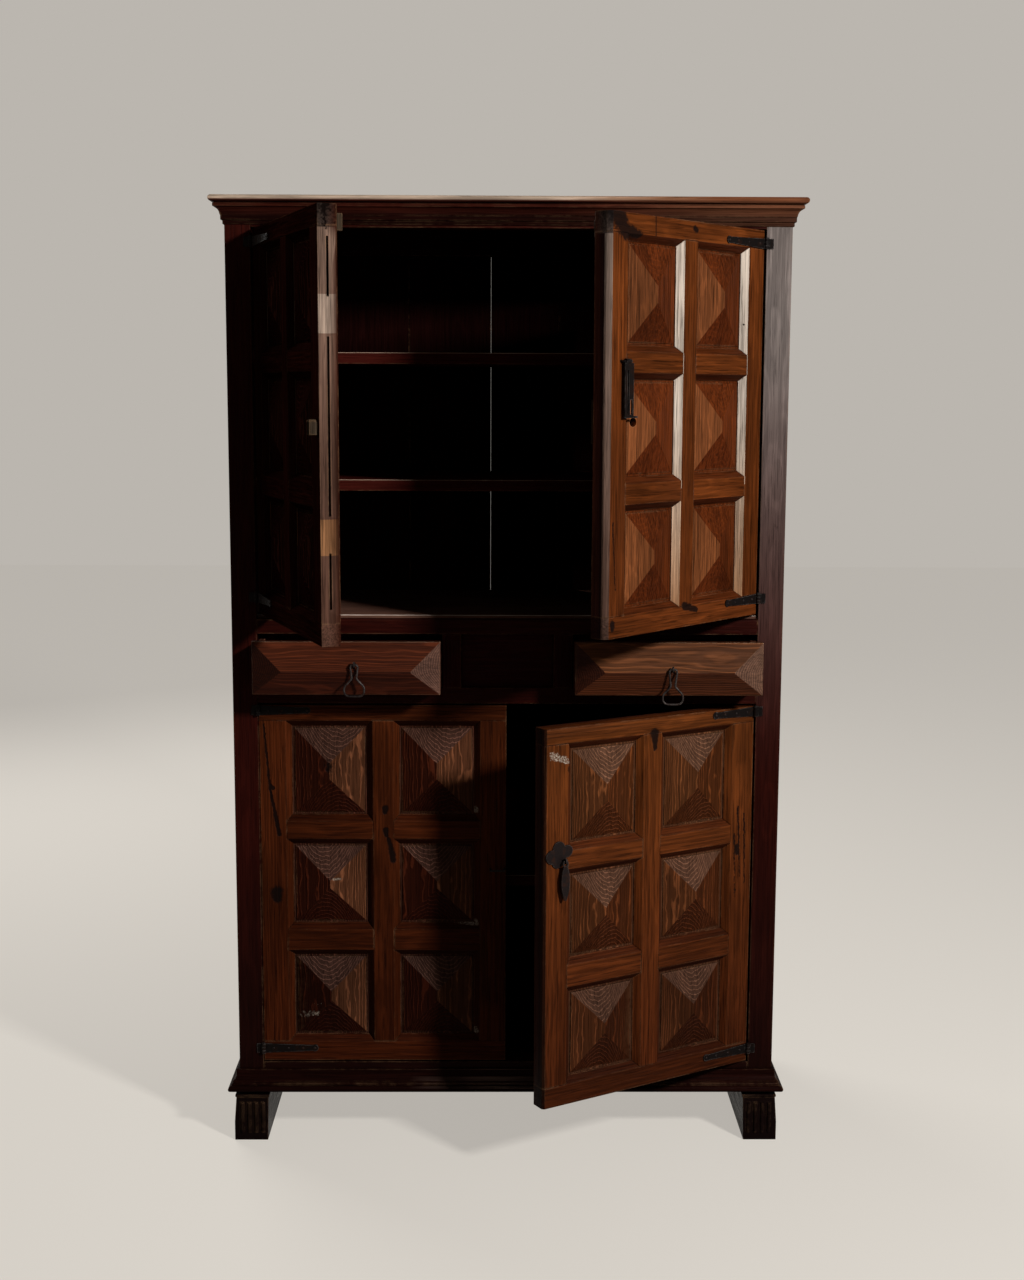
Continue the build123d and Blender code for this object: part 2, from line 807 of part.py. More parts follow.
def build_door(name, side, low, high, rails, errors):
    """The wooden parts of one door: uprights, rails and six raised panels."""
    face = door_face(side, rest_angles[name])

    def across(distance):
        return -side * (door_start + distance)

    rail_levels, bay_levels = frame_rows(low, high, rails, errors)
    columns = (
        (door_stile, door_stile + bay_width),
        (door_width - door_stile - bay_width, door_width - door_stile),
    )
    bay_boxes = [
        (across(first), across(last), z0, z1)
        for first, last in columns
        for z0, z1 in bay_levels
    ]
    step = -side * bay_bevel

    with BuildPart() as bevels:
        for x0, x1, z0, z1 in bay_boxes:
            with BuildSketch(face):
                span(x0, x1, z0, z1)
            with BuildSketch(face.offset(-bay_bevel)):
                span(x0 + step, x1 - step, z0 + bay_bevel, z1 - bay_bevel)
            loft()
        if name in free_edge_bevels:
            worn = free_edge_bevels[name]
            free = across(door_width)
            with BuildSketch(Plane(face.origin, x_dir=face.x_dir, z_dir=(0, 0, 1)).offset(low)):
                Polygon((free, 0), (free + side * worn, 0), (free, worn), align=None)
            extrude(amount=high - low)

    reach = bay_bevel - groove_depth
    edge = -side * reach
    with BuildPart() as grooves:
        for x0, x1, z0, z1 in bay_boxes:
            with BuildSketch(face.offset(-panel_depth)):
                span(x0 + edge, x1 - edge, z0 + reach, z1 - reach)
            extrude(amount=-(panel_tongue + 2 * fit))

    tenon_top = face.offset(-tenon_depth)
    cross_rails = rail_levels[1:-1]
    muntin = (door_stile + bay_width, door_stile + bay_width + door_muntin)
    upright_tenons = (
        (end_tenon_set, door_stile - tenon_shoulder),
        (muntin[0] + tenon_shoulder, muntin[1] - tenon_shoulder),
        (door_width - door_stile + tenon_shoulder, door_width - end_tenon_set),
    )
    cross_tenons = (
        (door_stile - tenon_length, door_stile),
        (muntin[0], muntin[0] + door_muntin / 3),
        (muntin[1] - door_muntin / 3, muntin[1]),
        (door_width - door_stile, door_width - door_stile + tenon_length),
    )

    def tenons(stretches, levels, play):
        """Tongues, or with some play the holes for them, behind the panel grooves."""
        with BuildSketch(tenon_top.offset(play)) as section:
            for first, last in stretches:
                for z0, z1 in levels:
                    span(across(first - play), across(last + play), z0 - play, z1 + play)
        extrude(section.sketch, amount=-(tenon_thickness + 2 * play))

    inner_low = rail_levels[0][1]
    inner_high = rail_levels[-1][0]
    end_levels = ((inner_low - tenon_length, inner_low), (inner_high, inner_high + tenon_length))
    cross_levels = [(z0 + tenon_shoulder, z1 - tenon_shoulder) for z0, z1 in cross_rails]

    with BuildPart() as cross_holes:
        tenons(cross_tenons, cross_levels, fit)
    with BuildPart() as end_holes:
        tenons(upright_tenons, end_levels, fit)

    with BuildPart() as uprights:
        with BuildSketch(face):
            for first, last in ((0, door_stile), muntin, (door_width - door_stile, door_width)):
                span(across(first), across(last), inner_low, inner_high)
            for bay in bay_boxes:
                mitred_strips(bay, ("first", "last"))
        extrude(amount=-door_thickness)
        tenons(upright_tenons, end_levels, 0)
        add(bevels.part, mode=Mode.SUBTRACT)
        add(grooves.part, mode=Mode.SUBTRACT)
        add(cross_holes.part, mode=Mode.SUBTRACT)
        for hole_s, hole_z in shank_places.get(name, ()):
            shank_hole(face, -side * hole_s, hole_z, 0)
        for z0, z1 in edge_slots.get(name, ()):
            middle = (door_thickness - edge_slot_width) / 2
            with BuildSketch(face.offset(-middle)):
                span(across(door_width - edge_slot_depth), across(door_width), z0, z1)
            extrude(amount=-edge_slot_width, mode=Mode.SUBTRACT)
    keep(uprights, f"{name}_door_uprights")

    with BuildPart() as rail_set:
        with BuildSketch(face):
            for z0, z1 in (rail_levels[0], rail_levels[-1]):
                span(across(0), across(door_width), z0, z1)
            for z0, z1 in cross_rails:
                for first, last in columns:
                    span(across(first), across(last), z0, z1)
            for bay in bay_boxes:
                mitred_strips(bay, ("low", "high"))
        extrude(amount=-door_thickness)
        tenons(cross_tenons, cross_levels, 0)
        add(bevels.part, mode=Mode.SUBTRACT)
        add(grooves.part, mode=Mode.SUBTRACT)
        add(end_holes.part, mode=Mode.SUBTRACT)
        for hole_s, hole_z in shank_places.get(name, ()):
            shank_hole(face, -side * hole_s, hole_z, 0)
    keep(rail_set, f"{name}_door_rails")

    fields = []
    rise = panel_depth + fit - panel_step + ridge_proud
    for x0, x1, z0, z1 in bay_boxes:
        wide = abs(x1 - x0) - 2 * bay_bevel - 2 * panel_margin
        high_by = z1 - z0 - 2 * bay_bevel - 2 * panel_margin
        short, long = sorted((wide, high_by))
        short_dir = face.x_dir if wide < high_by else face.y_dir
        centre = face.from_local_coords(((x0 + x1) / 2, (z0 + z1) / 2, ridge_proud - rise))
        base = Plane(centre, x_dir=short_dir, z_dir=face.z_dir)
        hip = min(short, long - least_ridge) / 2
        fields.append(hip_roof(base, short, long, 0, hip, rise))
    tongue = reach + fit
    tongue_edge = -side * tongue
    lift = bay_bevel + panel_margin
    lift_edge = -side * lift
    with BuildPart() as panels:
        for (x0, x1, z0, z1), field in zip(bay_boxes, fields):
            with BuildSketch(face.offset(-panel_depth - fit)):
                span(x0 + tongue_edge, x1 - tongue_edge, z0 + tongue, z1 - tongue)
            extrude(amount=-panel_tongue)
            with BuildSketch(face.offset(-panel_depth - fit)):
                span(x0 + lift_edge, x1 - lift_edge, z0 + lift, z1 - lift)
            extrude(amount=panel_step)
            add(field)
        if name in keyholes:
            hole_s, hole_z = keyholes[name]
            with BuildSketch(face.offset(ridge_proud)):
                with Locations((-side * hole_s, hole_z)):
                    Circle(keyhole_radius)
            extrude(amount=-door_thickness, mode=Mode.SUBTRACT)
    keep(panels, f"{name}_door_panels")


def strap_outline(side, length):
    """Outline of a hinge strap: it narrows to a rounded tip."""
    shoulder = length - strap_tip_height
    Polygon(
        (-side * relief, -strap_height / 2),
        (-side * shoulder, -strap_tip_height / 2),
        (-side * shoulder, strap_tip_height / 2),
        (-side * relief, strap_height / 2),
        align=None,
    )
    with Locations((-side * shoulder, 0)):
        RegularPolygon(strap_tip_radius, knuckle_sides)


def knuckle(plan, low, high, tail):
    """A knuckle: a barrel round the pin, with a tail that runs along the face."""
    with BuildSketch(plan.offset(low)) as section:
        RegularPolygon(knuckle_radius, knuckle_sides)
        span(0, tail, pin_proud - strap_thickness, pin_proud)
        RegularPolygon(pin_radius + pin_play, pin_sides, major_radius=False, mode=Mode.SUBTRACT)
    extrude(section.sketch, amount=high - low)


def knuckle_levels(z):
    """Heights of the lower, middle and upper knuckles of a hinge centred at one height."""
    low, high = z - strap_height / 2, z + strap_height / 2
    middle_low, middle_high = z - knuckle_height / 2, z + knuckle_height / 2
    return (
        (low, middle_low - knuckle_play),
        (middle_low, middle_high),
        (middle_high + knuckle_play, high),
    )


def build_straps(name, side, levels, lengths):
    """The two iron straps of one door, each with an upper and a lower knuckle."""
    face = door_face(side, rest_angles[name])
    plan = Plane(face.from_local_coords((0, 0, pin_proud)), x_dir=face.x_dir, z_dir=(0, 0, 1))
    with BuildPart() as straps:
        for z, length in zip(levels, lengths):
            strap_plane = Plane(
                face.from_local_coords((0, z, 0)), x_dir=face.x_dir, z_dir=face.z_dir
            )
            with BuildSketch(strap_plane):
                strap_outline(side, length)
            extrude(amount=strap_thickness)
            lower, middle, upper = knuckle_levels(z)
            knuckle(plan, *lower, -side * (relief + tail_overlap))
            knuckle(plan, *upper, -side * (relief + tail_overlap))
    keep(straps, f"{name}_door_straps")


upper_hinges = (upper_door[0] + upper_strap_insets[0], upper_door[1] - upper_strap_insets[1])
lower_hinges = (lower_door[0] + lower_strap_insets[0], lower_door[1] - lower_strap_insets[1])

for stage, side_name, side in (
    ("upper", "left", -1),
    ("upper", "right", 1),
    ("lower", "left", -1),
    ("lower", "right", 1),
):
    door_name = f"{stage}_{side_name}"
    if stage == "upper":
        build_door(door_name, side, *upper_door, upper_rails, upper_bay_errors)
        build_straps(door_name, side, upper_hinges, upper_strap_lengths)
    else:
        build_door(door_name, side, *lower_door, lower_rails, lower_bay_errors)
        build_straps(door_name, side, lower_hinges, lower_strap_lengths)

with BuildPart() as hinge_leaves:
    for side in (1, -1):
        plan = Plane((side * half_pivot, -pin_proud, 0), x_dir=(1, 0, 0), z_dir=(0, 0, 1))
        for z in upper_hinges + lower_hinges:
            xs = (side * (half_pivot + relief), side * (half_pivot + leaf_reach))
            block(xs, (-strap_thickness, 0), (z - strap_height / 2, z + strap_height / 2))
            lower, middle, upper = knuckle_levels(z)
            knuckle(plan, *middle, side * (relief + tail_overlap))
keep(hinge_leaves, "hinge_leaves")

with BuildPart() as hinge_pins:
    for side in (1, -1):
        for z in upper_hinges + lower_hinges:
            foot = z - strap_height / 2 - pin_end
            shoulder = z + strap_height / 2 + knuckle_play
            stages = ((foot, shoulder, pin_radius), (shoulder, shoulder + pin_head_height, pin_head_radius))
            for low, high, radius in stages:
                with BuildSketch(Plane.XY.offset(low)):
                    with Locations((side * half_pivot, -pin_proud)):
                        RegularPolygon(radius, pin_sides)
                extrude(amount=high - low)
keep(hinge_pins, "hinge_pins")

# =============================================================================================
# Fittings of the doors
# =============================================================================================


def face_block(face, ss, zs, ns, side):
    """A block on a door, between two distances from the hinge, two heights and two depths."""
    with BuildSketch(face.offset(ns[0])) as section:
        span(-side * ss[0], -side * ss[1], *zs)
    extrude(section.sketch, amount=ns[1] - ns[0])


upper_left_face = door_face(-1, rest_angles["upper_left"])
upper_right_face = door_face(1, rest_angles["upper_right"])
lower_left_face = door_face(-1, rest_angles["lower_left"])
lower_right_face = door_face(1, rest_angles["lower_right"])

catch_ns = (-door_thickness - catch_thickness, -door_thickness)
with BuildPart() as upper_left_blocks:
    face_block(upper_left_face, knob_ss, knob_zs, (0, knob_proud), -1)
    fillet(upper_left_blocks.faces().sort_by(Axis.Z)[-1].edges(), radius=knob_round)
    face_block(upper_left_face, catch_ss, catch_zs, catch_ns, -1)
keep(upper_left_blocks, "upper_left_door_blocks")

with BuildPart() as upper_right_blocks:
    face_block(upper_right_face, catch_ss, catch_zs, catch_ns, 1)
    lock_ns = (-door_thickness - lock_thickness, -door_thickness)
    face_block(upper_right_face, lock_ss, lock_zs, lock_ns, 1)
keep(upper_right_blocks, "upper_right_door_blocks")


def bar_staple(face, side, ends, z, out, bar_radius):
    """A staple: a round bar across the face, bent back into the wood at both ends."""
    with BuildPart() as staple:
        for s in ends:
            root = face.from_local_coords((-side * s, z, out))
            with BuildSketch(Plane(root, x_dir=face.x_dir, z_dir=-face.z_dir)):
                Rectangle(2 * eye_wire, 2 * eye_wire)
            extrude(amount=out + shank_length)
        start = face.from_local_coords((-side * (ends[0] - eye_wire), z, out))
        with BuildSketch(Plane(start, x_dir=face.z_dir, z_dir=face.x_dir * -side)):
            RegularPolygon(bar_radius, pin_sides)
        extrude(amount=ends[1] - ends[0] + 2 * eye_wire)
    return staple


hasp_staple = bar_staple(upper_right_face, 1, hasp_staple_ss, hasp_pivot_z, hasp_out, wire)
keep(hasp_staple, "upper_right_hasp_staple")

# The hasp hangs from a barrel on its staple: a plate with a long slot, and a short one between
# two prongs that meet at the foot, where a small hook turns towards the hinges.
with BuildPart() as hasp:
    with BuildSketch(upper_right_face.offset(hasp_out - hasp_thickness / 2)):
        span(-hasp_ss[0], -hasp_ss[1], hasp_low, hasp_pivot_z - wire - hasp_neck_gap)
        span(-hasp_hook_ss[0], -hasp_hook_ss[1], hasp_low, hasp_low + hasp_hook_height)
    extrude(amount=hasp_thickness)
    with BuildSketch(upper_right_face.offset(hasp_out - hasp_thickness / 2)):
        slot_high = hasp_pivot_z - hasp_slot_head
        span(-hasp_slot_ss[0], -hasp_slot_ss[1], hasp_low + hasp_slot_foot, slot_high)
        fork_low = hasp_low + hasp_fork_foot
        span(-hasp_fork_ss[0], -hasp_fork_ss[1], fork_low, hasp_low + hasp_fork)
    extrude(amount=hasp_thickness, mode=Mode.SUBTRACT)
    barrel_start = upper_right_face.from_local_coords((-hasp_barrel_ss[0], hasp_pivot_z, hasp_out))
    barrel_plane = Plane(
        barrel_start, x_dir=upper_right_face.z_dir, z_dir=upper_right_face.x_dir * -1
    )
    barrel_length = hasp_barrel_ss[1] - hasp_barrel_ss[0]
    with BuildSketch(barrel_plane):
        RegularPolygon(hasp_barrel_radius, knuckle_sides)
    extrude(amount=barrel_length)
    with BuildSketch(barrel_plane):
        RegularPolygon(wire + pin_play, pin_sides, major_radius=False)
    extrude(amount=barrel_length, mode=Mode.SUBTRACT)
keep(hasp, "upper_right_hasp")

# A lobed plate under the drop pull.
plate_s, plate_z = plate_place
drop_s, drop_z = drop_place
with BuildPart() as rosette:
    with BuildSketch(lower_right_face):
        for lobe_s, lobe_z, lobe_radius in plate_lobes:
            with Locations((-(plate_s + lobe_s), plate_z + lobe_z)):
                RegularPolygon(lobe_radius, lobe_sides)
    extrude(amount=plate_thickness)
    shank_hole(lower_right_face, -drop_s, drop_z, plate_thickness)
keep(rosette, "lower_right_pull_plate")

drop_cotter = eye(lower_right_face, -drop_s, drop_z, drop_out)
keep(drop_cotter, "lower_right_pull_cotter")

# The drop: a ring through the cotter, and below it a long almond.
drop_plane = lower_right_face.offset(drop_out - drop_thickness / 2)
with BuildPart() as drop:
    with BuildSketch(drop_plane):
        with Locations((-drop_s, drop_z - drop_ring)):
            RegularPolygon(drop_ring + drop_wire, knuckle_sides)
        with BuildLine():
            neck = Line(
                (-drop_s - drop_neck_half, drop_z - 2 * drop_ring),
                (-drop_s + drop_neck_half, drop_z - 2 * drop_ring),
            )
            right_edge = ThreePointArc(
                neck @ 1,
                (-drop_s + drop_half_width, drop_z - drop_belly),
                (-drop_s + drop_tip_half, drop_z - drop_length),
            )
            tip = Line(right_edge @ 1, (-drop_s - drop_tip_half, drop_z - drop_length))
            ThreePointArc(tip @ 1, (-drop_s - drop_half_width, drop_z - drop_belly), neck @ 0)
        make_face()
        with Locations((-drop_s, drop_z - drop_ring)):
            RegularPolygon(
                drop_ring - drop_wire, pin_sides, major_radius=False, mode=Mode.SUBTRACT
            )
    extrude(amount=drop_thickness)
keep(drop, "lower_right_pull_drop")

lock_staple = bar_staple(lower_left_face, -1, lock_staple_ss, lock_staple_z, lock_staple_out, wire)
keep(lock_staple, "lower_left_lock_staple")
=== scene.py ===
import json
import math
import random

import bmesh
import bpy
from mathutils import Matrix, Vector


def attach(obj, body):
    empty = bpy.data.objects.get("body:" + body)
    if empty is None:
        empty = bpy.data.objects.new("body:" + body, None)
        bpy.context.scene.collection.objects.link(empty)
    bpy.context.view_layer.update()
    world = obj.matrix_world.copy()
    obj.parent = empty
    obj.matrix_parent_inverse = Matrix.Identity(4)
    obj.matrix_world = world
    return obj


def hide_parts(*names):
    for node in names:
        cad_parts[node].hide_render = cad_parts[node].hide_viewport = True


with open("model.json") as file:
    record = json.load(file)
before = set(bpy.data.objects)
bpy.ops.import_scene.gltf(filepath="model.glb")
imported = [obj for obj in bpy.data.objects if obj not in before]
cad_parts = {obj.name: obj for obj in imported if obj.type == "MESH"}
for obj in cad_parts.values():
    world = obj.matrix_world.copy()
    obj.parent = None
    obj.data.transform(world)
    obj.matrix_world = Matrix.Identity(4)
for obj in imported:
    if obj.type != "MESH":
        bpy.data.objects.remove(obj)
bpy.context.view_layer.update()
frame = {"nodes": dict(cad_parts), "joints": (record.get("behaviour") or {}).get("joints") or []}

UP = Vector((0, 0, 1))
RIGHT = Vector((1, 0, 0))
BACK = Vector((0, 1, 0))

# =============================================================================================
# Doors and drawers as the frame holds them
# =============================================================================================

PIN_PROUD = 0.005  # the hinge pins stand this far in front of the doors' faces


class Door:
    """One door at rest: its hinge line, the way along its face and the way out of it."""

    def __init__(self, name):
        joint = next(j for j in frame["joints"] if j["name"] == f"{name}_door_hinge")
        self.name = name
        self.body = f"{name}_door"
        self.side = 1 if "right" in name else -1
        turn = math.radians(-self.side * joint["range_deg"][0])
        pivot = Vector(joint["pos_m"])
        self.along = Vector((math.cos(turn), math.sin(turn), 0))
        self.out = Vector((math.sin(turn), -math.cos(turn), 0))
        self.origin = Vector((pivot.x, pivot.y, 0)) - self.out * PIN_PROUD

    def point(self, s, z, proud=0.0):
        """A place on the door: s from the hinge line, z from the floor, proud of its face."""
        return self.origin - self.along * (self.side * s) + UP * z + self.out * proud

    def local(self, place):
        """The same three numbers for a place in the frame."""
        away = place - self.origin
        return -self.side * away.dot(self.along), place.z, away.dot(self.out)


DOORS = {
    name: Door(name)
    for name in ("upper_left", "upper_right", "lower_left", "lower_right")
}

# =============================================================================================
# Shader building
# =============================================================================================


def linear(red, green, blue):
    """A colour in steps of 0 to 255, as the linear values that shaders take."""
    steps = [c / 255 for c in (red, green, blue)]
    return tuple(c / 12.92 if c < 0.04 else ((c + 0.055) / 1.055) ** 2.4 for c in steps) + (1.0,)


class Board:
    """A node tree in the making, with short ways to add nodes and join them."""

    def __init__(self, tree):
        self.tree = tree

    def add(self, kind, values=None, **settings):
        node = self.tree.nodes.new(kind)
        for key, value in settings.items():
            setattr(node, key, value)
        for key, value in (values or {}).items():
            self.feed(node.inputs[key], value)
        return node

    def feed(self, socket, value):
        if isinstance(value, bpy.types.NodeSocket):
            self.tree.links.new(value, socket)
        else:
            socket.default_value = value

    def math(self, operation, a, b=0.0, c=0.0, clamp=False):
        node = self.add("ShaderNodeMath", operation=operation, use_clamp=clamp)
        for socket, value in zip(node.inputs, (a, b, c)):
            self.feed(socket, value)
        return node.outputs[0]

    def vector(self, operation, a, b=(0, 0, 0), scale=1.0):
        node = self.add("ShaderNodeVectorMath", operation=operation)
        self.feed(node.inputs[0], a)
        if operation == "SCALE":
            self.feed(node.inputs["Scale"], scale)
        else:
            self.feed(node.inputs[1], b)
        return node.outputs["Value" if operation in ("LENGTH", "DOT_PRODUCT") else "Vector"]

    def mix(self, factor, a, b, blend="MIX"):
        node = self.add("ShaderNodeMix", data_type="RGBA", blend_type=blend, clamp_factor=True)
        self.feed(node.inputs[0], factor)
        self.feed(node.inputs[6], a)
        self.feed(node.inputs[7], b)
        return node.outputs[2]

    def between(self, value, low, high, to_low=0.0, to_high=1.0):
        node = self.add("ShaderNodeMapRange", interpolation_type="SMOOTHSTEP")
        for key, given in zip(range(5), (value, low, high, to_low, to_high)):
            self.feed(node.inputs[key], given)
        return node.outputs[0]

    def noise(self, vector, scale, detail=2.0, rough=0.5, output="Fac"):
        values = {"Vector": vector, "Scale": scale, "Detail": detail, "Roughness": rough}
        return self.add("ShaderNodeTexNoise", values).outputs[output]

    def stretch(self, vector, scales):
        return self.vector("MULTIPLY", vector, scales)

    def attribute(self, name, output="Fac"):
        node = self.add("ShaderNodeAttribute", attribute_name=name)
        return node.outputs[output]


def group(name, inputs, outputs, build):
    """A shader node group. build gets its board and its inputs, and returns its outputs."""
    tree = bpy.data.node_groups.new(name, "ShaderNodeTree")
    for label, kind, value in inputs:
        socket = tree.interface.new_socket(label, in_out="INPUT", socket_type=f"NodeSocket{kind}")
        if value is not None:
            socket.default_value = value
    for label, kind in outputs:
        tree.interface.new_socket(label, in_out="OUTPUT", socket_type=f"NodeSocket{kind}")
    board = Board(tree)
    entry = tree.nodes.new("NodeGroupInput")
    leave = tree.nodes.new("NodeGroupOutput")
    made = build(board, entry.outputs)
    for label, _ in outputs:
        board.feed(leave.inputs[label], made[label])
    return tree


def place_group(board, tree, values):
    node = board.add("ShaderNodeGroup", node_tree=tree)
    for key, value in values.items():
        board.feed(node.inputs[key], value)
    return node.outputs


def build_oak_figure(board, given):
    """Growth rings, fibres, pores and broad patches, on coordinates that run along the grain."""
    place = given["Grain"]
    slow = board.stretch(place, (22.0, 22.0, 6.5))
    sway = board.noise(slow, given["Wave"], 2.0, 0.5, "Color")
    sway = board.vector("SUBTRACT", sway, (0.5, 0.5, 0.5))
    sway = board.vector("SCALE", sway, scale=given["Sway"])
    bent = board.vector("ADD", place, sway)
    flat = board.vector("MULTIPLY", bent, (1, 1, 0))
    radius = board.vector("LENGTH", flat)
    count = board.math("DIVIDE", radius, given["Ring Width"])
    triangle = board.math("PINGPONG", count, 0.5)
    rings = board.math("POWER", board.math("MULTIPLY", triangle, 2.0), given["Ring Edge"])
    streaks = board.noise(board.stretch(place, (240.0, 240.0, 6.0)), 1.0, 4.0, 0.62)
    pores = board.noise(board.stretch(place, (460.0, 460.0, 15.0)), 1.0, 2.0, 0.6)
    patches = board.noise(board.stretch(place, (9.0, 9.0, 3.0)), 1.0, 3.0, 0.55)
    return {
        "Rings": rings,
        "Streaks": board.between(streaks, 0.3, 0.7),
        "Pores": board.between(pores, 0.54, 0.68),
        "Patches": board.between(patches, 0.3, 0.7),
    }


def build_age(board, given):
    """Where hands and knocks have rubbed the arrises, and where wax and dirt sit in the corners,
    which are darkened with painted shade too.
    """
    rounded = board.add("ShaderNodeBevel", {"Radius": given["Arris"]}, samples=4)
    plain = board.add("ShaderNodeNewGeometry")
    alike = board.vector("DOT_PRODUCT", rounded.outputs[0], plain.outputs["True Normal"])
    edge = board.between(alike, 0.99, 0.86)
    open_air = board.add(
        "ShaderNodeAmbientOcclusion",
        {"Distance": given["Corner"]},
        samples=4,
        only_local=False,
    ).outputs["AO"]
    place = board.add("ShaderNodeTexCoord").outputs["Object"]
    rough = board.noise(place, 90.0, 3.0, 0.6)
    patchy = board.noise(place, 14.0, 2.0, 0.5)
    broken = board.between(board.math("ADD", rough, patchy), 0.82, 1.2)
    wear = board.math("MULTIPLY", edge, board.between(open_air, 0.45, 0.75))
    wear = board.math("MULTIPLY", wear, broken)
    # Corners darkened for dirt and for painted shade
    grime_and_shade = board.between(open_air, 0.72, 0.2)
    return {"Wear": wear, "Grime And Shade": grime_and_shade}


OAK_FIGURE = group(
    "oak_figure",
    [
        ("Grain", "Vector", None),
        ("Ring Width", "Float", 0.0015),
        ("Ring Edge", "Float", 2.0),
        ("Sway", "Float", 0.004),
        ("Wave", "Float", 1.0),
    ],
    [("Rings", "Float"), ("Streaks", "Float"), ("Pores", "Float"), ("Patches", "Float")],
    build_oak_figure,
)

AGE = group(
    "age",
    [("Arris", "Float", 0.004), ("Corner", "Float", 0.03)],
    [("Wear", "Float"), ("Grime And Shade", "Float")],
    build_age,
)


def new_material(name):
    material = bpy.data.materials.new(name)
    material.use_nodes = True
    tree = material.node_tree
    tree.nodes.clear()
    board = Board(tree)
    shader = board.add("ShaderNodeBsdfPrincipled")
    leave = board.add("ShaderNodeOutputMaterial")
    board.feed(leave.inputs["Surface"], shader.outputs[0])
    return material, board, shader


def build_mark(board, given):
    """A crack, knot, chip or painted highlight, laid along a line: how near a place is to the line
    between two points.
    """
    place = board.add("ShaderNodeTexCoord").outputs["Object"]
    wander = board.noise(place, 130.0, 3.0, 0.6, "Color")
    wander = board.vector("SUBTRACT", wander, (0.5, 0.5, 0.5))
    place = board.vector("ADD", place, board.vector("SCALE", wander, scale=given["Wander"]))
    reach = board.vector("SUBTRACT", given["To"], given["From"])
    away = board.vector("SUBTRACT", place, given["From"])
    square = board.vector("DOT_PRODUCT", reach, reach)
    share = board.math("DIVIDE", board.vector("DOT_PRODUCT", away, reach), square, clamp=True)
    nearest = board.vector("SCALE", reach, scale=share)
    gap = board.vector("LENGTH", board.vector("SUBTRACT", away, nearest))
    taper = board.math("SUBTRACT", 1.0, board.math("MULTIPLY", share, given["Taper"]))
    half = board.math("MULTIPLY", given["Half Width"], taper)
    soft = board.math("MULTIPLY", half, given["Edge"])
    return {"Mark": board.between(gap, board.math("ADD", half, soft), half)}


MARK = group(
    "mark",
    [
        ("From", "Vector", None),
        ("To", "Vector", None),
        ("Half Width", "Float", 0.001),
        ("Edge", "Float", 0.8),
        ("Taper", "Float", 0.6),
        ("Wander", "Float", 0.006),
    ],
    [("Mark", "Float")],
    build_mark,
)


def lay_marks(board, marks):
    """The strongest of several marks at each place."""
    total = None
    for start, end, half, edge, taper, wander in marks:
        values = {"From": start, "To": end, "Half Width": half}
        values.update({"Edge": edge, "Taper": taper, "Wander": wander})
        mark = place_group(board, MARK, values)["Mark"]
        total = mark if total is None else board.math("MAXIMUM", total, mark)
    return total


def oak(
    name,
    ring_width=0.0013,
    ring_edge=2.0,
    sway=0.004,
    wave=1.0,
    ring_show=0.2,
    ring_gain=1.9,
    gloss=0.42,
    shine=0.1,
    contrast=0.24,
    relief=0.0005,
    wear_show=0.4,
    wear_colour=(150, 112, 80),
    dark_marks=(),
    pale_marks=(),
):
    """Old waxed oak. Its colour, painted light and shade included, comes with each piece, and the
    figure plays about it.
    """
    material, board, shader = new_material(name)
    grain = board.attribute("grain", "Vector")
    figure = place_group(
        board,
        OAK_FIGURE,
        {
            "Grain": grain,
            "Ring Width": ring_width,
            "Ring Edge": ring_edge,
            "Sway": sway,
            "Wave": wave,
        },
    )
    age = place_group(board, AGE, {"Arris": 0.004, "Corner": 0.03})
    tint = board.attribute("tint", "Color")
    drawn = board.attribute("drawn")

    play = board.between(figure["Streaks"], 0, 1, 1 - contrast, 1 + 0.8 * contrast)
    patches = board.between(figure["Patches"], 0, 1, 1 - 0.85 * contrast, 1 + 0.7 * contrast)
    play = board.math("MULTIPLY", play, patches)
    pores = board.between(figure["Pores"], 0, 1, 1.05, 1.05 - 1.6 * contrast)
    play = board.math("MULTIPLY", play, pores)
    rings = board.between(figure["Rings"], 0.2, 0.8, -0.5 * ring_show, ring_show * ring_gain)
    rings = board.math("MULTIPLY", rings, drawn)
    play = board.math("MULTIPLY", play, board.math("ADD", rings, 1.0))
    # Corners darken for dirt and painted shade
    play = board.math("MULTIPLY", play, board.between(age["Grime And Shade"], 0, 1, 1.0, 0.28))
    colour = board.vector("SCALE", tint, scale=play)
    worn = board.math("MULTIPLY", age["Wear"], wear_show)
    colour = board.mix(worn, colour, linear(*wear_colour))
    height = board.math("MULTIPLY", rings, 0.8)
    height = board.math("ADD", height, board.math("MULTIPLY", figure["Streaks"], 0.6))
    height = board.math("SUBTRACT", height, board.math("MULTIPLY", figure["Pores"], 0.5))
    if dark_marks:
        dark = lay_marks(board, dark_marks)
        colour = board.mix(board.math("MULTIPLY", dark, 0.93), colour, linear(12, 7, 6))
        height = board.math("SUBTRACT", height, board.math("MULTIPLY", dark, 1.6))
    # Pale marks: chips, and painted highlights on some doors
    if pale_marks:
        pale = lay_marks(board, pale_marks)
        crumbs = board.noise(board.add("ShaderNodeTexCoord").outputs["Object"], 420.0, 3.0, 0.7)
        pale = board.math("MULTIPLY", pale, board.between(crumbs, 0.42, 0.58))
        colour = board.mix(board.math("MULTIPLY", pale, 0.8), colour, linear(176, 160, 142))
        height = board.math("SUBTRACT", height, pale)
    board.feed(shader.inputs["Base Color"], colour)

    rough = board.between(figure["Streaks"], 0, 1, gloss + 0.12, gloss)
    rough = board.math("ADD", rough, board.math("MULTIPLY", figure["Pores"], 0.15))
    rough = board.math("ADD", rough, board.math("MULTIPLY", age["Grime And Shade"], 0.25), clamp=True)
    board.feed(shader.inputs["Roughness"], rough)
    bump = board.add("ShaderNodeBump", {"Height": height, "Distance": relief, "Strength": 1.0})
    board.feed(shader.inputs["Normal"], bump.outputs[0])
    shader.inputs["Specular IOR Level"].default_value = shine
    return material


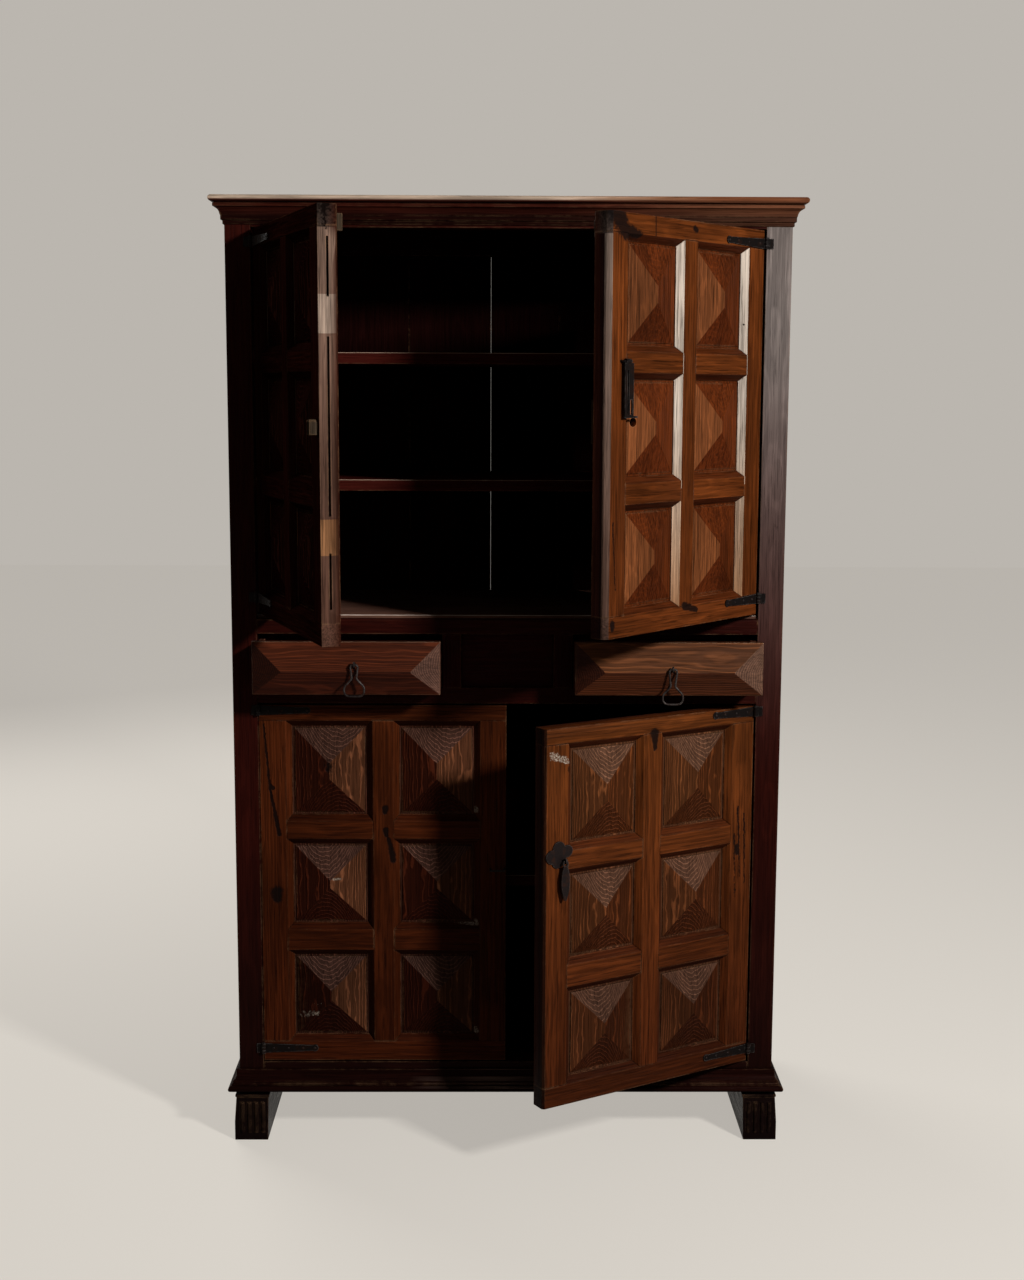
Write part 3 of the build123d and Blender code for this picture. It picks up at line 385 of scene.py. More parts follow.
def forged_iron(name, face=(46, 41, 42), rust=(66, 40, 28), bright=0.7, metal=0.75, gloss=0.42):
    """Hand-forged iron, near black, with brown rust in its hollows, which are also darkened with
    painted shade, and pale worn rims that also serve as a painted highlight.
    """
    material, board, shader = new_material(name)
    place = board.add("ShaderNodeTexCoord").outputs["Object"]
    hammered = board.noise(place, 220.0, 2.0, 0.5)
    rusty = board.between(board.noise(place, 60.0, 3.0, 0.6), 0.5, 0.68)
    age = place_group(board, AGE, {"Arris": 0.0018, "Corner": 0.01})
    colour = board.mix(rusty, linear(*face), linear(*rust))
    # Worn arrises, pale as rubbed iron and as a painted highlight along the rims
    colour = board.mix(board.math("MULTIPLY", age["Wear"], bright), colour, linear(150, 140, 134))
    # Hollows darkened for grime and painted shade
    colour = board.mix(board.math("MULTIPLY", age["Grime And Shade"], 0.6), colour, linear(10, 7, 6))
    board.feed(shader.inputs["Base Color"], colour)
    board.feed(shader.inputs["Metallic"], board.between(rusty, 0, 1, metal, 0.2 * metal))
    board.feed(shader.inputs["Roughness"], board.between(rusty, 0, 1, gloss, 0.75))
    shader.inputs["Specular IOR Level"].default_value = 0.04
    bump = board.add("ShaderNodeBump", {"Height": hammered, "Distance": 0.0006, "Strength": 1.0})
    board.feed(shader.inputs["Normal"], bump.outputs[0])
    return material


def on_door(name, *marks, depth=0, depth_to=None):
    """Marks given by two places on a door, in millimetres, at a depth below its face."""
    door = DOORS[name]
    laid = []
    for s0, z0, s1, z1, half, edge, taper, wander in marks:
        start = door.point(s0 / 1000, z0 / 1000, -depth / 1000)
        end = door.point(s1 / 1000, z1 / 1000, -(depth if depth_to is None else depth_to) / 1000)
        laid.append((start, end, half / 1000, edge, taper, wander / 1000))
    return laid


# Cracks, knots and burnt places in the frames of the doors, and in the front right stile
DARK = {
    "lower_left": on_door(
        "lower_left",
        (38, 643, 20, 738, 3.4, 0.8, 0.5, 6),
        (20, 740, 10, 868, 1.7, 1.0, 0.3, 6),
        (22, 742, 28, 736, 3.5, 0.6, 0.3, 8),
        (31, 522, 32, 510, 8.0, 1.2, 0.2, 14),
        (252, 697, 252, 688, 4.6, 0.8, 0.3, 7),
        (253, 652, 254, 640, 4.2, 0.8, 0.3, 6),
        (268, 590, 258, 634, 5.0, 0.9, 0.5, 8),
    ),
    "lower_right": on_door(
        "lower_right",
        (36, 705, 28, 560, 1.4, 1.2, 0.4, 9),
        (20, 690, 16, 545, 1.2, 1.2, 0.4, 9),
        (44, 650, 40, 520, 1.1, 1.2, 0.5, 9),
        (36, 622, 36, 610, 5.0, 0.8, 0.2, 8),
        (245, 876, 244, 846, 7.0, 0.9, 0.6, 6),
        (440, 826, 432, 826, 4.0, 0.8, 0.2, 7),
    ),
    "upper_right": on_door(
        "upper_right",
        (480, 1838, 452, 1806, 15.0, 1.0, 0.3, 26),
        (440, 1806, 410, 1800, 9.0, 0.8, 0.3, 14),
        (362, 1838, 361, 1797, 0.9, 0.8, 0.1, 1),
        (238, 1825, 233, 1823, 4.5, 0.9, 0.2, 7),
        (480, 1300, 470, 1180, 1.0, 1.5, 0.5, 8),
        (253, 1133, 212, 1122, 6.0, 0.6, 0.4, 8),
        (478, 1120, 477, 1112, 5.0, 0.8, 0.2, 9),
    ),
    "upper_left": on_door("upper_left", (489, 1792, 489, 1690, 1.5, 0.5, 0.1, 0.6), depth=18),
    "case": [
        (Vector((0.527, -0.01, 1.272)), Vector((0.528, -0.01, 1.261)), 0.006, 0.9, 0.2, 0.01),
        (Vector((0.524, -0.01, 1.345)), Vector((0.528, -0.01, 1.333)), 0.0016, 0.9, 0.3, 0.006),
        (Vector((0.503, -0.01, 1.621)), Vector((0.524, -0.01, 1.654)), 0.0014, 0.9, 0.3, 0.005),
    ],
}
DARK["upper_right"] += on_door("upper_right", (72, 1664, 46, 1654, 1.3, 0.9, 0.4, 5), depth=6)
for z0, z1, half in ((1690, 1690, 0.9), (1625, 1625, 0.7), (1312, 1312, 0.9), (1250, 1250, 0.7)):
    DARK["upper_left"] += on_door(
        "upper_left", (489, z0, 489, z1, half, 0.6, 0.1, 0.8), depth=8, depth_to=28
    )
DARK["upper_left"] += on_door("upper_left", (489, 1848, 489, 1800, 8.0, 1.2, 0.5, 30), depth=12)

# Pale marks: painted highlights along the lower left door's rail bevels, and a pale streak by the
# lower right door's pull
PALE = {
    "lower_left": [
        mark
        for z in (690, 455, 226)
        for mark in on_door("lower_left", (436, z + 2, 384, z + 2, 6.0, 0.5, 0.8, 5), depth=9)
    ],
    "lower_right": on_door("lower_right", (478, 856, 444, 842, 5.5, 0.5, 0.3, 16)),
}

# Dark spots, and pale lines and spots, on the raised panels
PANEL_DARK = {"lower_left": on_door("lower_left", (138, 786, 139, 776, 5.0, 1.5, 0.2, 12), depth=2)}
PANEL_PALE = {
    "lower_right": on_door(
        "lower_right",
        (213, 684, 213, 862, 1.5, 0.6, 0.1, 3),
        (67, 690, 67, 862, 1.5, 0.6, 0.1, 3),
        (66, 686, 92, 686, 2.2, 0.6, 0.4, 4),
        (281, 690, 281, 780, 1.2, 0.6, 0.6, 3),
        (426, 640, 426, 630, 2.0, 0.6, 0.3, 4),
    ),
    "lower_left": on_door(
        "lower_left",
        (214, 690, 214, 780, 1.3, 0.6, 0.5, 3),
        (67, 690, 67, 862, 0.9, 0.6, 0.3, 3),
        (150, 685, 190, 685, 1.4, 0.6, 0.6, 3),
        (146, 549, 176, 550, 2.2, 0.6, 0.4, 4),
        (70, 262, 108, 264, 5.5, 1.0, 0.3, 22),
        (88, 282, 118, 288, 2.0, 0.9, 0.4, 14),
    ),
}

MATERIALS = {
    "case_oak": oak(
        "case_oak", gloss=0.42, shine=0.02, ring_show=0.1, contrast=0.2, dark_marks=DARK["case"]
    ),
    "drawer_oak": oak("drawer_oak", shine=0.05, ring_show=0.3, sway=0.005),
    "moulding_oak": oak(
        "moulding_oak", gloss=0.3, shine=0.01, ring_show=0.1, contrast=0.25, wear_show=0.2
    ),
    "inner_oak": oak("inner_oak", gloss=0.6, shine=0.0, ring_show=0.1, contrast=0.2),
    "foot_oak": oak(
        "foot_oak", gloss=0.24, shine=0.012, ring_show=0.1, contrast=0.16, wear_show=0.3
    ),
    "forged_iron": forged_iron(
        "forged_iron", face=(30, 24, 23), rust=(40, 24, 18), bright=0.25, metal=0.4, gloss=0.42
    ),
    "strap_iron": forged_iron(
        "strap_iron", face=(12, 8, 7), rust=(22, 12, 8), bright=0.3, metal=0.0, gloss=0.6
    ),
}
DOOR_SHINE = {"upper_left": 0.0, "upper_right": 0.015, "lower_left": 0.02, "lower_right": 0.025}
for name in DOORS:
    shine = DOOR_SHINE[name]
    MATERIALS[f"{name}_frame"] = oak(
        f"{name}_frame",
        shine=shine,
        ring_show=0.12,
        contrast=0.32,
        dark_marks=DARK.get(name, ()),
        pale_marks=PALE.get(name, ()),
    )
    MATERIALS[f"{name}_panel"] = oak(
        f"{name}_panel",
        ring_width=0.0018,
        ring_edge=2.8,
        ring_show=0.5,
        sway=0.0035,
        wave=3.0,
        contrast=0.34 if name == "upper_right" else 0.24,
        shine=shine,
        gloss=0.42,
        relief=0.0009,
        dark_marks=PANEL_DARK.get(name, ()),
        pale_marks=PANEL_PALE.get(name, ()),
    )

# =============================================================================================
# Timbers: each CAD node of wood gets a copy with eased arrises and its own run of grain
# =============================================================================================


def merged_copy(node):
    """The node's mesh with its corners joined and its flat faces made whole."""
    bm = bmesh.new()
    bm.from_mesh(frame["nodes"][node].data)
    bmesh.ops.remove_doubles(bm, verts=bm.verts, dist=1e-5)
    bmesh.ops.dissolve_limit(
        bm,
        angle_limit=math.radians(0.6),
        verts=bm.verts,
        edges=bm.edges,
        use_dissolve_boundaries=False,
    )
    return bm


def timbers(bm):
    """Lists of joined vertices, one for each separate solid, in a steady order."""
    bm.verts.ensure_lookup_table()
    seen = set()
    found = []
    for start in bm.verts:
        if start.index in seen:
            continue
        seen.add(start.index)
        pile, members = [start], []
        while pile:
            vert = pile.pop()
            members.append(vert)
            for edge in vert.link_edges:
                other = edge.other_vert(vert)
                if other.index not in seen:
                    seen.add(other.index)
                    pile.append(other)
        found.append(members)
    return found


def lay_grain(bm, along, out, heart, seed, drawn):
    """Gives every timber its own place in the tree, and says how clearly its rings are drawn."""
    grain = bm.verts.layers.float_vector.new("grain")
    clear = bm.verts.layers.float.new("drawn")
    draw = random.Random(seed)
    across = along.cross(out)
    for members in timbers(bm):
        centre = sum((v.co for v in members), Vector()) / len(members)
        depth = draw.uniform(*heart)
        shift = Vector((draw.uniform(-0.03, 0.03), depth, draw.uniform(0.0, 9.0)))
        for vert in members:
            away = vert.co - centre
            vert[grain] = Vector((away.dot(across), away.dot(out), away.dot(along))) + shift
            vert[clear] = drawn


def widen(bm, across, amount):
    """Makes each board wider by this much on both sides, to close the joints between boards."""
    for members in timbers(bm):
        places = [vert.co.dot(across) for vert in members]
        middle = (min(places) + max(places)) / 2
        for vert in members:
            vert.co += across * math.copysign(amount, vert.co.dot(across) - middle)


def slice_across(bm, planes):
    """Cuts every face along each plane, so that a colour can change part-way along a timber."""
    for place, normal in planes:
        geometry = bm.verts[:] + bm.edges[:] + bm.faces[:]
        bmesh.ops.bisect_plane(bm, geom=geometry, plane_co=place, plane_no=normal, dist=1e-5)


def ease(bm, width, wanted=None):
    """Rounds the sharp arrises."""
    sharp = [
        e
        for e in bm.edges
        if len(e.link_faces) == 2
        and e.calc_face_angle(0) > math.radians(25)
        and e.calc_length() > 2 * width
        and (wanted is None or wanted(e))
    ]
    bmesh.ops.bevel(
        bm,
        geom=sharp,
        offset=width,
        offset_type="OFFSET",
        segments=2,
        profile=0.5,
        affect="EDGES",
        clamp_overlap=False,
    )


def finish_piece(bm, name, body, slot, replaced=(), smooth=0, finish=None):
    """Turns a bmesh into a piece that rides on a body."""
    mesh = bpy.data.meshes.new(name)
    bm.to_mesh(mesh)
    bm.free()
    if smooth:
        mesh.shade_smooth()
        mesh.set_sharp_from_angle(angle=math.radians(smooth))
    return place_piece(mesh, name, body, slot, replaced, finish)


def place_piece(mesh, name, body, slot, replaced=(), finish=None):
    piece = bpy.data.objects.new(name, mesh)
    bpy.context.scene.collection.objects.link(piece)
    mesh.materials.clear()
    mesh.materials.append(MATERIALS[finish or slot])
    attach(piece, body)
    if replaced:
        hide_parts(*replaced)
    return piece


def paint(bm, rule):
    """The wood's colour at each corner of a face, with painted sheen, highlights and shade on some
    faces, from the face's normal and the place.
    """
    layer = bm.loops.layers.float_color.new("tint")
    for face in bm.faces:
        for loop in face.loops:
            loop[layer] = linear(*rule(face.normal, loop.vert.co))


def dress(
    node,
    body,
    slot,
    along,
    out,
    rule,
    heart=(0.16, 0.3),
    width=0.0012,
    wanted=None,
    smooth=0,
    drawn=1.0,
    planes=(),
    widened=0.0,
    finish=None,
):
    """Replaces a wooden node with a copy that has eased arrises, a run of grain and its colours."""
    bm = merged_copy(node)
    if widened:
        widen(bm, along.cross(out), widened)
    lay_grain(bm, along, out, heart, node, drawn)
    ease(bm, width, wanted)
    slice_across(bm, planes)
    paint(bm, rule)
    return finish_piece(bm, f"{node}_wood", body, slot, [node], smooth, finish)


def fade(low, high, share):
    """A colour between two others."""
    share = max(0.0, min(1.0, share))
    return tuple(a + (b - a) * share for a, b in zip(low, high))


def plain(*colour):
    return lambda normal, place: colour


def toned(colour, tone):
    """Lighter or darker wood. It also turns redder as it darkens."""
    red, green, blue = colour
    return red * tone, green * tone**1.5, blue * tone**1.7


# The plain woods, states of wood, and painted sheen, highlight and shade that the rules below work
# from
DARK_WOOD = (22, 6, 4)
RED_WOOD = (40, 10, 6)
# Grey sheen painted on the right stile towards its top
STILE_SHEEN = (105, 95, 90)
# Pale dust, also used as painted sheen
DUSTY_AND_SHEEN = (110, 90, 80)
# Rubbed wood, also used as painted sheen
RUBBED_AND_SHEEN = (130, 90, 60)
# Bare wood, also used as a painted highlight and reflection
BARE_AND_HIGHLIGHT = (180, 165, 150)
BURNT = (50, 40, 35)
# Painted shade on the back part of a free edge
EDGE_SHADE = (15, 5, 5)


def stile_colour(normal, place):
    """Dark and red from the feet up. The right stiles carry a painted grey sheen towards their
    tops.
    """
    wood = fade(DARK_WOOD, RED_WOOD, (place.z - DARK_BELOW) / DARK_BLEND)
    return wood if place.x < 0 else fade(wood, STILE_SHEEN, (place.z - SHEEN_ABOVE) / SHEEN_BLEND)


def rail_colour(normal, place):
    return DARK_WOOD if place.z < BOTTOM_RAIL_TOP else RED_WOOD


# Levels on the case where its wood changes, and over how much of its height it does so
DARK_BELOW, DARK_BLEND = 0.15, 0.5
# Where the right stile's painted grey sheen begins, and over how much height it comes in
SHEEN_ABOVE, SHEEN_BLEND = 0.8, 0.8
BOTTOM_RAIL_TOP = 0.2
CORNICE_LINE, LINE_BLEND = 1.89, 0.003  # the top arris, rubbed down to pale wood
CORNICE_STEP, STEP_BLEND = 1.862, 0.012  # the lighter mouldings under it
# The cornice is dry to the right of the first, over the length of the second
CORNICE_DRY_FROM, CORNICE_DRY_BLEND = 0.1, 0.3
# The bright line on the base moulding: its middle, its half length and the slopes that carry it
BASE_LINE_AT, BASE_LINE_REACH = -0.02, 0.16
BASE_LINE_SLOPES = (0.35, 0.95)


def cornice_colour(normal, place):
    """Dark and red below, lighter above and towards its dry right end, and pale along its top."""
    dry = max(0.0, min(1.0, (place.x - CORNICE_DRY_FROM) / CORNICE_DRY_BLEND))
    wood = fade(DARK_WOOD, RUBBED_AND_SHEEN, 0.3 * dry)
    upper = fade(RED_WOOD, RUBBED_AND_SHEEN, 0.1 + 0.4 * dry)
    line = toned(fade(BARE_AND_HIGHLIGHT, RUBBED_AND_SHEEN, 0.3 + 0.7 * dry), 1 - 0.3 * dry)
    wood = fade(wood, upper, (place.z - CORNICE_STEP) / STEP_BLEND)
    return fade(wood, line, (place.z - CORNICE_LINE) / LINE_BLEND)


def base_colour(normal, place):
    """Near black, with a bright line along its top arris, brightest below where the doors meet."""
    least, most = BASE_LINE_SLOPES
    if least < normal.z < most:
        return fade(DARK_WOOD, DUSTY_AND_SHEEN, 1 - abs(place.x - BASE_LINE_AT) / BASE_LINE_REACH)
    return DARK_WOOD


def back_colour(normal, place):
    """Near black inside the cupboard, and bare brown boards behind."""
    return (62, 34, 22) if normal.y > 0.5 else (20, 5, 4)


def with_highlit_arris(colour, line):
    """A board whose front arris is painted as a pale highlight line."""

    def rule(normal, place):
        return line if normal.z > 0.3 and normal.y < -0.3 else colour

    return rule


def cuts(start, end, step, direction):
    """Planes across a direction, a step apart."""
    count = int((end - start) / step)
    return [(direction * (start + step * i), direction) for i in range(count + 1)]


UP_THE_CASE = cuts(0.15, 1.85, 0.1, UP)
ACROSS_THE_CASE = cuts(-0.5, 0.5, 0.1, RIGHT)
CUTS = {
    "front_stiles": UP_THE_CASE,
    "front_rails": ACROSS_THE_CASE,
    "cornice": ACROSS_THE_CASE,
    "base_moulding": ACROSS_THE_CASE,
}

JOINT_CLOSED = 0.00045  # the back boards are wider by this on each side

case_plan = (
    ("front_stiles", "case_oak", UP, -BACK, stile_colour, 0),
    ("back_stiles", "case_oak", UP, BACK, plain(52, 26, 16), 0),
    ("front_rails", "case_oak", RIGHT, -BACK, rail_colour, 0),
    ("side_rails", "case_oak", BACK, RIGHT, plain(48, 22, 13), 0),
    ("side_panels", "case_oak", UP, RIGHT, plain(54, 26, 15), 0),
    ("top_board", "moulding_oak", RIGHT, UP, plain(66, 40, 24), 0),
    ("back_boards", "inner_oak", UP, BACK, back_colour, 0),
    ("back_rails", "inner_oak", RIGHT, BACK, plain(30, 9, 7), 0),
    # The upper floor and the shelves carry a painted highlight along their front arris
    ("upper_floor", "inner_oak", RIGHT, UP, with_highlit_arris((96, 66, 54), (190, 172, 158)), 0),
    ("lower_floor", "inner_oak", RIGHT, UP, plain(40, 22, 14), 0),
    ("shelves", "inner_oak", RIGHT, UP, with_highlit_arris((60, 20, 15), (150, 126, 110)), 0),
    ("shelf_bearers", "inner_oak", BACK, RIGHT, plain(30, 14, 9), 0),
    ("drawer_posts", "case_oak", UP, -BACK, plain(38, 6, 5), 0),
    ("centre_panel", "case_oak", RIGHT, -BACK, plain(36, 5, 4), 0),
    ("drawer_runners", "inner_oak", BACK, UP, plain(40, 22, 14), 0),
    ("drawer_kickers", "inner_oak", BACK, UP, plain(40, 22, 14), 0),
    ("cornice", "moulding_oak", RIGHT, -BACK, cornice_colour, 20),
    ("cornice_returns", "moulding_oak", BACK, RIGHT, cornice_colour, 20),
    ("base_moulding", "moulding_oak", RIGHT, -BACK, base_colour, 20),
    ("base_returns", "moulding_oak", BACK, RIGHT, base_colour, 20),
    ("feet", "foot_oak", BACK, RIGHT, plain(17, 8, 7), 0),
)
for node, slot, along, out, rule, smooth in case_plan:
    closed = JOINT_CLOSED if node == "back_boards" else 0.0
    planes = CUTS.get(node, ())
    dress(node, "case", slot, along, out, rule, smooth=smooth, planes=planes, widened=closed)

# The wood of each door: its frame, its panels and its free edge; how dark its foot is beside its
# head; how much darker each row of panels is than the one above; and how much pale dust and painted
# sheen lie on the facets that look up, and how much painted sheen lies on those towards the free
# edge.
LOOKS = {
    "upper_left": {
        "frame": (48, 18, 12),
        "panel": (38, 12, 8),
        "edge": (110, 88, 75),
        "foot": 0.85,
        "fall": 0.0,
        "dust_and_sheen": 0.05,
        "free_facet_sheen": 0.15,
    },
    "upper_right": {
        "frame": (80, 38, 12),
        "panel": (72, 30, 8),
        # Pale along the free edge and its chamfer as a painted reflection
        "edge": (100, 85, 75),
        "foot": 0.95,
        "fall": 0.0,
        "dust_and_sheen": 0.0,
        "free_facet_sheen": 0.35,
    },
    "lower_left": {
        "frame": (64, 27, 9),
        "panel": (48, 18, 8),
        "edge": (40, 18, 8),
        "foot": 0.8,
        "fall": 0.1,
        "dust_and_sheen": 0.4,
        "free_facet_sheen": 0.4,
    },
    "lower_right": {
        "frame": (84, 42, 15),
        "panel": (68, 34, 14),
        "edge": (40, 18, 8),
        "foot": 0.7,
        "fall": 0.1,
        "dust_and_sheen": 0.4,
        "free_facet_sheen": 0.15,
    },
}
# Blocks of other wood let into the upper left door's free edge, by their lowest and highest levels
EDGE_BLOCKS = ((1.25, 1.312, RUBBED_AND_SHEEN), (1.625, 1.69, (140, 120, 105)))
BURNT_ABOVE = 1.8
EDGE_LEVELS = {
    "upper_left": [level for block in EDGE_BLOCKS for level in block[:2]] + [BURNT_ABOVE],
    "upper_right": [BURNT_ABOVE],
}
JOINT_LINE = 0.001  # how thin the line is where the wood of an edge changes
EDGE_DEPTH = 0.012  # behind this the free edge of an open door is painted dark as shade
EDGE_BLEND = 0.0004  # how thin the line is between the two
BACK_WOOD = (45, 20, 12)
BACK_DEPTH = 0.0325  # behind this a door shows its back
PANEL_TONGUE = 0.012  # behind this a panel is in its groove
FREE_EDGE_FROM = 0.48  # how far the free edge's bevel is from the hinge line
FACE_ARRIS = 0.0132  # arrises of the front lie in front of this depth
BACK_ARRIS = 0.034  # and those of the back behind this one


def frame_colour(door, normal, place):
    look = LOOKS[door.name]
    s, z, depth = door.local(place)
    low, high = DOOR_HEIGHTS[door.name]
    rise = (z - low) / (high - low)
    outward = normal.dot(door.out)
    freeward = -door.side * normal.dot(door.along)
    if outward < -0.4 or depth < -BACK_DEPTH:
        return BACK_WOOD
    if freeward > 0.8 or (freeward > 0.4 and s > FREE_EDGE_FROM):
        if z > BURNT_ABOVE and door.name in EDGE_LEVELS:
            return BURNT
        for bottom, top, colour in EDGE_BLOCKS:
            if door.name == "upper_left" and bottom <= z <= top:
                return colour
        # Behind EDGE_DEPTH the free edge is painted dark as shade, except on the upper left door
        out_of_edge_shade = door.name == "upper_left" or depth > -EDGE_DEPTH - 1e-4
        return toned(look["edge"], 0.7 + 0.3 * rise) if out_of_edge_shade else EDGE_SHADE
    wood = toned(look["frame"], look["foot"] + (1 - look["foot"]) * rise)
    # Bevels are toned by the way they face, as painted shade: a little looking up, a little more
    # towards the hinge, most looking down
    if normal.z > 0.4:
        return toned(wood, 0.85)
    if normal.z < -0.4:
        return toned(wood, 0.65)
    # The upper right door's bevels that face its free edge carry a painted reflection, brighter
    # towards the top
    if freeward > 0.4 and door.name == "upper_right":
        return fade(RUBBED_AND_SHEEN, BARE_AND_HIGHLIGHT, 2 * rise)
    return toned(wood, 0.8) if freeward < -0.4 else wood


def panel_colour(door, normal, place):
    look = LOOKS[door.name]
    _, z, depth = door.local(place)
    outward = normal.dot(door.out)
    if outward < 0.3 and depth < -PANEL_TONGUE:
        return BACK_WOOD
    low, high = DOOR_HEIGHTS[door.name]
    row = min(2, int(3 * (high - z) / (high - low)))
    wood = toned(look["panel"], 1 - look["fall"] * row)
    # Facets are toned by the way they face: the flat field and steep sides take half the dust and
    # painted sheen, facets looking up take all of it, those looking down are painted in shade, and
    # those towards the free edge carry a painted sheen
    if outward > 0.99 or outward < 0.8:
        return fade(wood, DUSTY_AND_SHEEN, 0.5 * look["dust_and_sheen"])
    if normal.z > 0.12:
        return fade(wood, DUSTY_AND_SHEEN, look["dust_and_sheen"])
    if normal.z < -0.12:
        return toned(wood, 0.9)
    if -door.side * normal.dot(door.along) > 0.0:
        return fade(wood, RUBBED_AND_SHEEN, look["free_facet_sheen"])
    return wood


DOOR_HEIGHTS = {}
for name in DOORS:
    box = [v.co.z for v in frame["nodes"][f"{name}_door_rails"].data.vertices]
    DOOR_HEIGHTS[name] = (min(box), max(box))

for name, door in DOORS.items():

    def on_faces(edge, door=door):
        """Arrises of the front and back faces, and not those of joints inside the frame."""
        depths = [door.local(v.co)[2] for v in edge.verts]
        return min(depths) > -FACE_ARRIS or max(depths) < -BACK_ARRIS

    def on_front(edge, door=door):
        """Arrises of the front face only."""
        return min(door.local(v.co)[2] for v in edge.verts) > -FACE_ARRIS

    def frame_rule(normal, place, door=door):
        return frame_colour(door, normal, place)

    def panel_rule(normal, place, door=door):
        return panel_colour(door, normal, place)

    uprights, rails, panels = (f"{name}_door_{part}" for part in ("uprights", "rails", "panels"))
    low, high = DOOR_HEIGHTS[name]
    patched = [
        (UP * (level + side * JOINT_LINE / 2), UP)
        for level in EDGE_LEVELS.get(name, ())
        for side in (-1, 1)
    ]
    behind = [
        (door.point(0, 0, -depth), door.out) for depth in (EDGE_DEPTH, EDGE_DEPTH + EDGE_BLEND)
    ]
    dress(
        uprights,
        door.body,
        "door_oak",
        UP,
        door.out,
        frame_rule,
        wanted=on_faces,
        planes=cuts(low + 0.05, high - 0.02, 0.07, UP) + behind + patched,
        finish=f"{name}_frame",
    )
    dress(
        rails,
        door.body,
        "door_oak",
        door.along,
        door.out,
        frame_rule,
        wanted=on_faces,
        planes=behind,
        finish=f"{name}_frame",
    )
    dress(
        panels,
        door.body,
        "panel_oak",
        UP,
        door.out,
        panel_rule,
        heart=(0.09, 0.16),
        width=0.0008,
        drawn=0.25 if name == "upper_right" else 1.0,
        wanted=on_front,
        finish=f"{name}_panel",
    )


DRAWER_WOOD = {"left_drawer": (52, 20, 9), "right_drawer": (70, 36, 18)}


def drawer_colour(body):
    """A drawer front has dust and painted sheen on the facet to its right, painted sheen on the one
    above, and painted shade on the left one and below.
    """
    wood = DRAWER_WOOD[body]

    def rule(normal, place):
        if normal.y > -0.8:
            if normal.z > 0.3 and normal.y < -0.3:
                return fade(RUBBED_AND_SHEEN, BARE_AND_HIGHLIGHT, 0.4)
            return toned(wood, 0.9)
        # Facets toned by the way they face: painted sheen to the right and above, painted shade to
        # the left and below
        if normal.x > 0.15:
            return fade(wood, DUSTY_AND_SHEEN, 0.5)
        if normal.x < -0.15:
            return toned(wood, 0.55)
        return toned(wood, 1.2) if normal.z > 0.1 else toned(wood, 0.85)

    return rule


for body in ("left_drawer", "right_drawer"):
    front_rule = drawer_colour(body)
    dress(f"{body}_front", body, "drawer_oak", RIGHT, -BACK, front_rule, heart=(0.12, 0.16))
    for part, along, out in (("sides", BACK, RIGHT), ("back", RIGHT, BACK), ("bottom", RIGHT, UP)):
        dress(f"{body}_{part}", body, "inner_oak", along, out, plain(96, 58, 44))

for name in ("upper_left", "upper_right"):
    door = DOORS[name]
    dress(
        f"{name}_door_blocks",
        door.body,
        "door_oak",
        UP,
        door.out,
        plain(54, 44, 34),
        finish=f"{name}_frame",
    )

# =============================================================================================
# Ironwork
# =============================================================================================


def evaluated_mesh(piece):
    """The piece's mesh with its modifiers worked in, as a plain mesh."""
    graph = bpy.context.evaluated_depsgraph_get()
    mesh = bpy.data.meshes.new_from_object(piece.evaluated_get(graph))
    bpy.data.objects.remove(piece)
    return mesh


def forged(node, body):
    """Forged round work: the node's own shape, shaded smooth."""
    bm = bmesh.new()
    bm.from_mesh(frame["nodes"][node].data)
    bmesh.ops.remove_doubles(bm, verts=bm.verts, dist=1e-5)
    finish_piece(bm, f"{node}_iron", body, "forged_iron", [node], smooth=60)


forged("left_drawer_pull", "left_pull")
forged("right_drawer_pull", "right_pull")

iron_nodes = ["hinge_leaves", "hinge_pins", "left_drawer_cotter", "right_drawer_cotter"]
iron_nodes += ["upper_right_hasp_staple", "upper_right_hasp", "lower_right_pull_cotter"]
iron_nodes += ["lower_right_pull_plate", "lower_right_pull_drop", "lower_left_lock_staple"]
iron_nodes += [f"{name}_door_straps" for name in DOORS]
for node in iron_nodes:
    slots = frame["nodes"][node].data.materials
    slots.clear()
    slots.append(MATERIALS["forged_iron" if "pull" in node or "cotter" in node else "strap_iron"])


